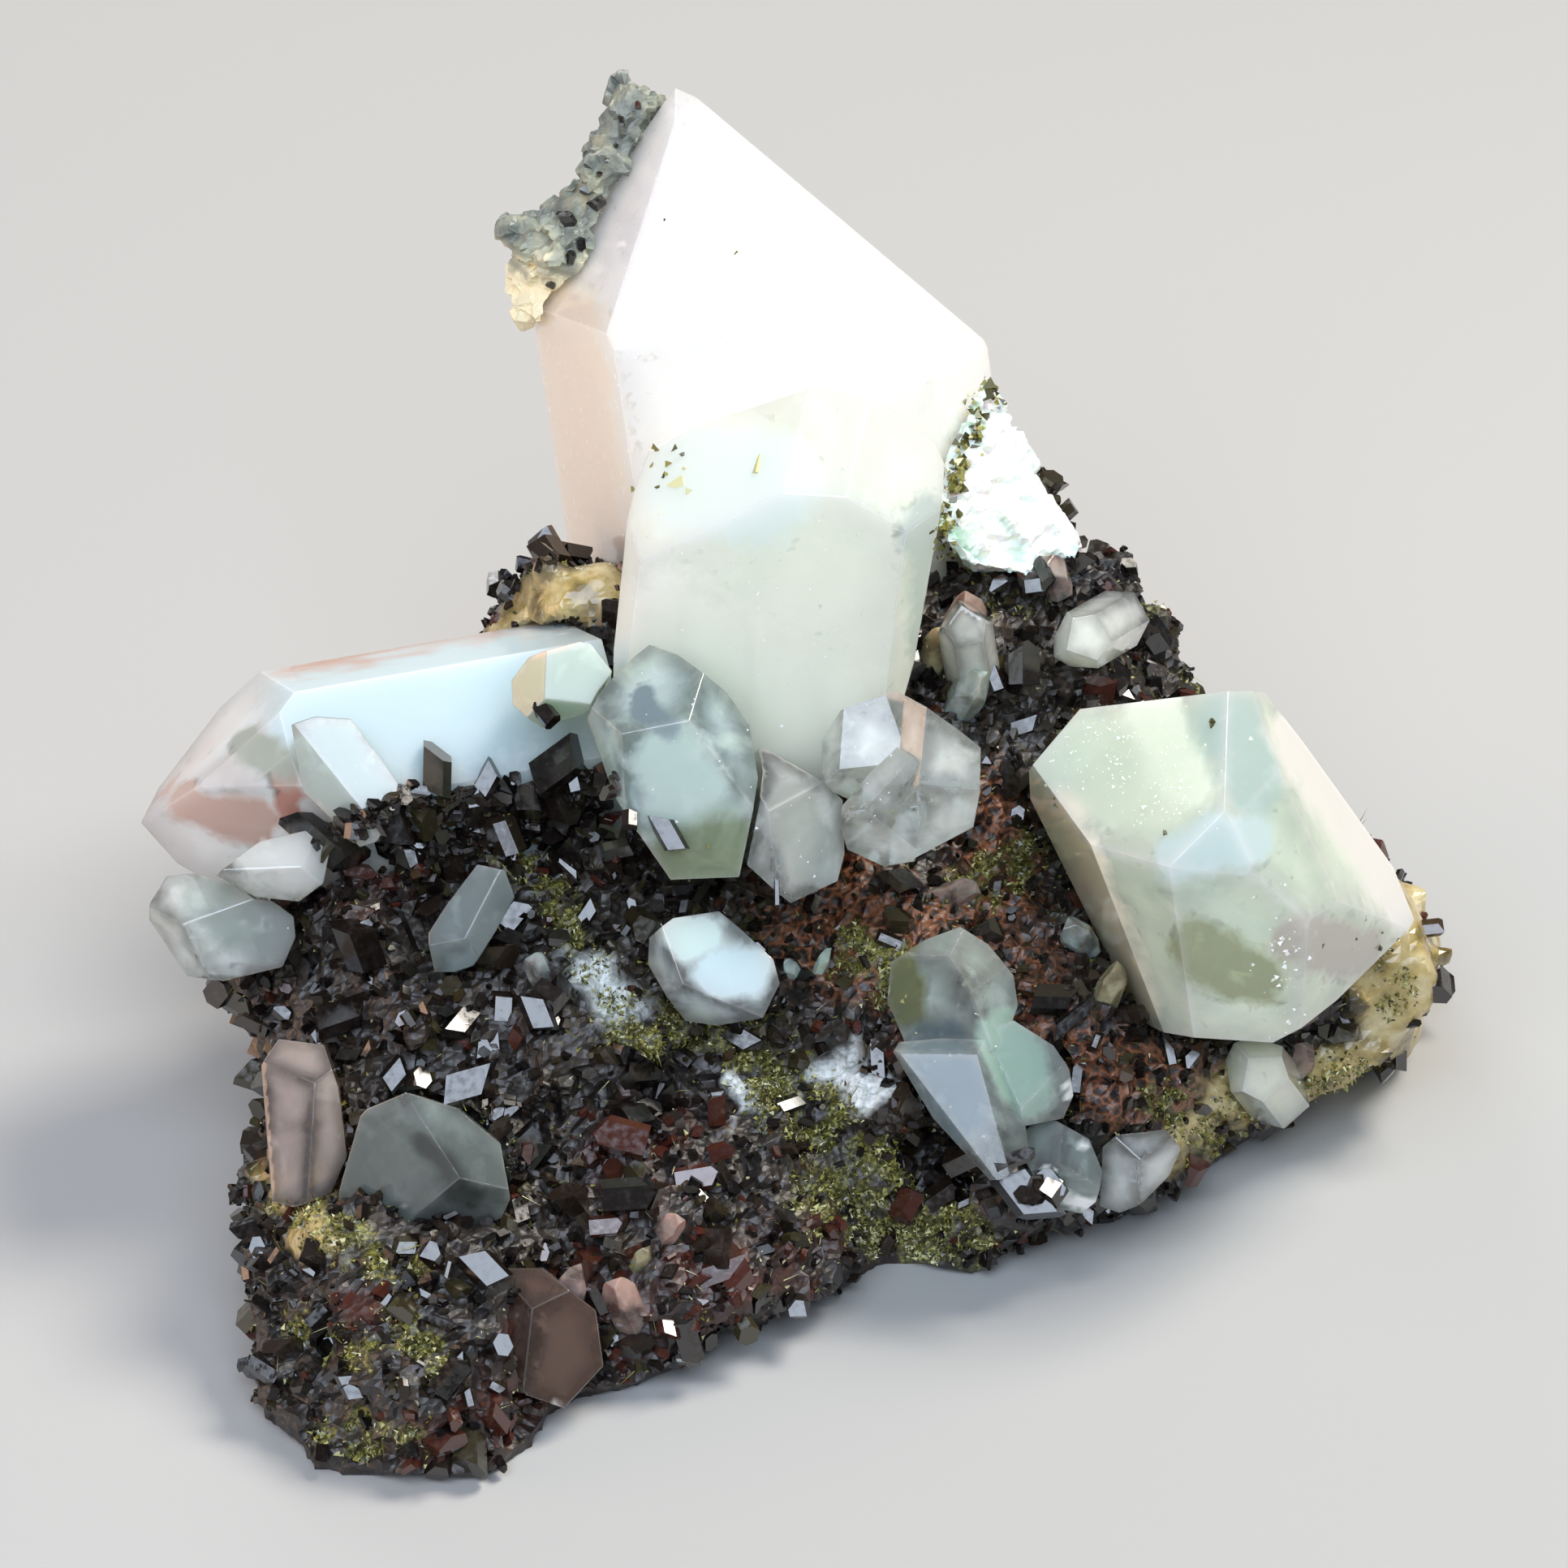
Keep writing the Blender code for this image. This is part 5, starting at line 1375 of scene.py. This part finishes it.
class SPECIMEN_OT_massive_quartz(bpy.types.Operator):
    """Builds the white massive quartz beside the tall crystal"""

    bl_idname = "specimen.massive_quartz"
    bl_label = "White massive quartz"

    def execute(self, context):
        bm = fused(node_copy("white_massive_quartz"), 0.3 * MM)
        push(bm, sugar_height)
        new_piece("massive_quartz", bm, massive_quartz_material(), "white_quartz", "white_massive_quartz")
        return {"FINISHED"}


# Dark epidote crystals on the crumbs of the tip, as the front shows them.
TIP_CRYSTALS = (
    (-11.6, 28.1), (-12.3, 27.4), (-12.9, 27.7), (-11.3, 30.0), (-12.0, 31.3), (-10.4, 32.2), (-10.2, 33.8),
    (-9.3, 35.4), (-7.9, 34.5), (-9.0, 36.8), (-8.1, 37.6), (-9.8, 34.6), (-11.0, 32.9), (-11.8, 29.2),
)


def crumb_material():
    """Epidote crumbs on the tip: grey-green and dark, running to a cream crust lower down."""
    made, tree, shader = new_material("epidote_crumbs")
    place = node(tree, "ShaderNodeTexCoord").outputs["Object"]
    height = node(tree, "ShaderNodeSeparateXYZ", {0: place}).outputs["Z"]
    mottle = node(tree, "ShaderNodeTexNoise", {"Vector": place, "Scale": 1 / (1.6 * MM), "Detail": 6.0}).outputs["Fac"]
    rise = node(tree, "ShaderNodeMapRange", {
        "Value": height, "From Min": 38 * MM, "From Max": 45.5 * MM, "To Min": 0.66, "To Max": 0.11,
    }).outputs["Result"]
    mixed = node(tree, "ShaderNodeMath", {0: mottle, 1: 0.7, 2: rise}, operation="MULTIPLY_ADD").outputs[0]
    colour = node(tree, "ShaderNodeValToRGB", {"Fac": mixed}, [
        (0.28, linear("#3E4442")), (0.43, linear("#7A8078")), (0.57, linear("#AAAC96")), (0.70, linear("#F4ECC8")),
    ])
    bump = node(tree, "ShaderNodeBump", {"Height": mottle, "Distance": 0.3 * MM, "Strength": 0.9})
    tree.links.new(colour.outputs["Color"], shader.inputs["Base Color"])
    tree.links.new(bump.outputs["Normal"], shader.inputs["Normal"])
    shader.inputs["Roughness"].default_value = 0.4
    return made


class SPECIMEN_OT_tip_crumbs(bpy.types.Operator):
    """Builds the epidote crumbs on the tall crystal's tip"""

    bl_idname = "specimen.tip_crumbs"
    bl_label = "Epidote crumbs"

    def execute(self, context):
        bm = fused(node_copy("tip_epidote"), 0.28 * MM)
        push(bm, sugar_height)
        tree = BVHTree.FromBMesh(bm)
        new_piece("tip_crumbs", bm, crumb_material(), "epidote_rock", "tip_epidote")
        dice = random.Random(21)
        forms, places = epidote_forms(), []
        for right, up in TIP_CRYSTALS:
            spot, normal = aim_at(tree, right, up)
            if spot is None:
                continue
            size = dice.uniform(0.5, 0.9) * MM
            axis = (normal + Vector([dice.gauss(0, 0.5) for _ in range(3)])).normalized()
            turn = axis.to_track_quat("Z", "Y").to_matrix().to_4x4()
            places.append((dice.randrange(5), Matrix.Translation(spot) @ turn @ Matrix.Scale(size, 4), dice.random()))
        piece = new_piece("tip_crystals", gather(forms, places), bpy.data.materials["epidote_crystals"], "epidote_rock")
        mark_tones(piece, forms, places)
        return {"FINISHED"}


def add_light(name, place, aim, size, power, colour):
    data = bpy.data.lights.new(name, "AREA")
    data.shape = "RECTANGLE"
    data.size, data.size_y = size
    data.energy = power
    data.color = linear(colour)[:3]
    lamp = bpy.data.objects.new(name, data)
    lamp.location = place
    lamp.rotation_euler = (Vector(aim) - Vector(place)).to_track_quat("-Z", "Y").to_euler()
    bpy.context.scene.collection.objects.link(lamp)


class SPECIMEN_OT_stage(bpy.types.Operator):
    """Builds the pale floor, the studio lights and the camera"""

    bl_idname = "specimen.stage"
    bl_label = "Stage"

    def execute(self, context):
        scene = context.scene
        bm = bmesh.new()
        bmesh.ops.create_grid(bm, x_segments=2, y_segments=2, size=1.5)
        mesh = bpy.data.meshes.new("floor")
        bm.to_mesh(mesh)
        bm.free()
        floor = bpy.data.objects.new("floor", mesh)
        floor.location.z = -0.02 * MM
        made, tree, shader = new_material("floor_paper")
        shader.inputs["Base Color"].default_value = linear("#B4B4B2")
        shader.inputs["Roughness"].default_value = 0.8
        mesh.materials.append(made)
        scene.collection.objects.link(floor)
        middle = (0, 0, 0.025)
        add_light("key", (0.28, 0.10, 0.50), middle, (0.22, 0.22), 3.3, "#FFF7EC")
        add_light("sky", (-0.06, -0.48, 0.52), middle, (0.66, 0.46), 5.2, "#DFECFF")
        add_light("fill", (-0.55, -0.10, 0.12), middle, (0.4, 0.3), 1.3, "#FFD0B0")
        add_light("rim", (-0.2, 0.5, 0.25), middle, (0.3, 0.2), 1.0, "#FFFFFF")
        world = bpy.data.worlds.new("studio")
        scene.world = world
        world.use_nodes = True
        world.node_tree.nodes["Background"].inputs["Color"].default_value = linear("#E3EAF2")
        world.node_tree.nodes["Background"].inputs["Strength"].default_value = 0.12
        scene.cycles.max_bounces = 10
        scene.cycles.diffuse_bounces = 3
        scene.cycles.glossy_bounces = 4
        scene.cycles.transmission_bounces = 10
        scene.cycles.caustics_reflective = False
        camera = bpy.data.cameras.new("camera")
        camera.sensor_width = SENSOR
        camera.lens = SENSOR * VIEW_DISTANCE / VIEW_SPAN
        camera.clip_start = 0.01
        viewer = bpy.data.objects.new("camera", camera)
        viewer.location = VIEW_CENTRE + VIEW_OUT * VIEW_DISTANCE
        viewer.rotation_euler = VIEW_OUT.to_track_quat("Z", "Y").to_euler()
        scene.collection.objects.link(viewer)
        scene.camera = viewer
        scene.view_settings.view_transform = "Standard"
        return {"FINISHED"}


OPERATORS = (
    SPECIMEN_OT_rock,
    SPECIMEN_OT_epidote,
    SPECIMEN_OT_grains,
    SPECIMEN_OT_quartz,
    SPECIMEN_OT_small_quartz,
    SPECIMEN_OT_specks,
    SPECIMEN_OT_veils,
    SPECIMEN_OT_massive_quartz,
    SPECIMEN_OT_tip_crumbs,
    SPECIMEN_OT_stage,
)
SETTINGS = {"specimen_rock": RockSettings, "specimen_epidote": EpidoteSettings, "specimen_quartz": QuartzSettings}


class SPECIMEN_PT_panel(bpy.types.Panel):
    """Lists the specimen's pieces and settings"""

    bl_idname = "SPECIMEN_PT_panel"
    bl_label = "Epidote with quartz"
    bl_space_type = "VIEW_3D"
    bl_region_type = "UI"
    bl_category = "Specimen"

    def draw(self, context):
        for name, group in SETTINGS.items():
            box = self.layout.box()
            for prop in group.__annotations__:
                box.prop(getattr(context.scene, name), prop)
        for operator in OPERATORS:
            self.layout.operator(operator.bl_idname)


def register():
    for item in (*SETTINGS.values(), *OPERATORS, SPECIMEN_PT_panel):
        bpy.utils.register_class(item)
    for name, group in SETTINGS.items():
        setattr(bpy.types.Scene, name, bpy.props.PointerProperty(type=group))


def unregister():
    for name in SETTINGS:
        delattr(bpy.types.Scene, name)
    for item in (SPECIMEN_PT_panel, *OPERATORS, *SETTINGS.values()):
        bpy.utils.unregister_class(item)


def main():
    register()
    for operator in OPERATORS:
        getattr(bpy.ops.specimen, operator.bl_idname.split(".")[1])()


if __name__ == "__main__":
    main()
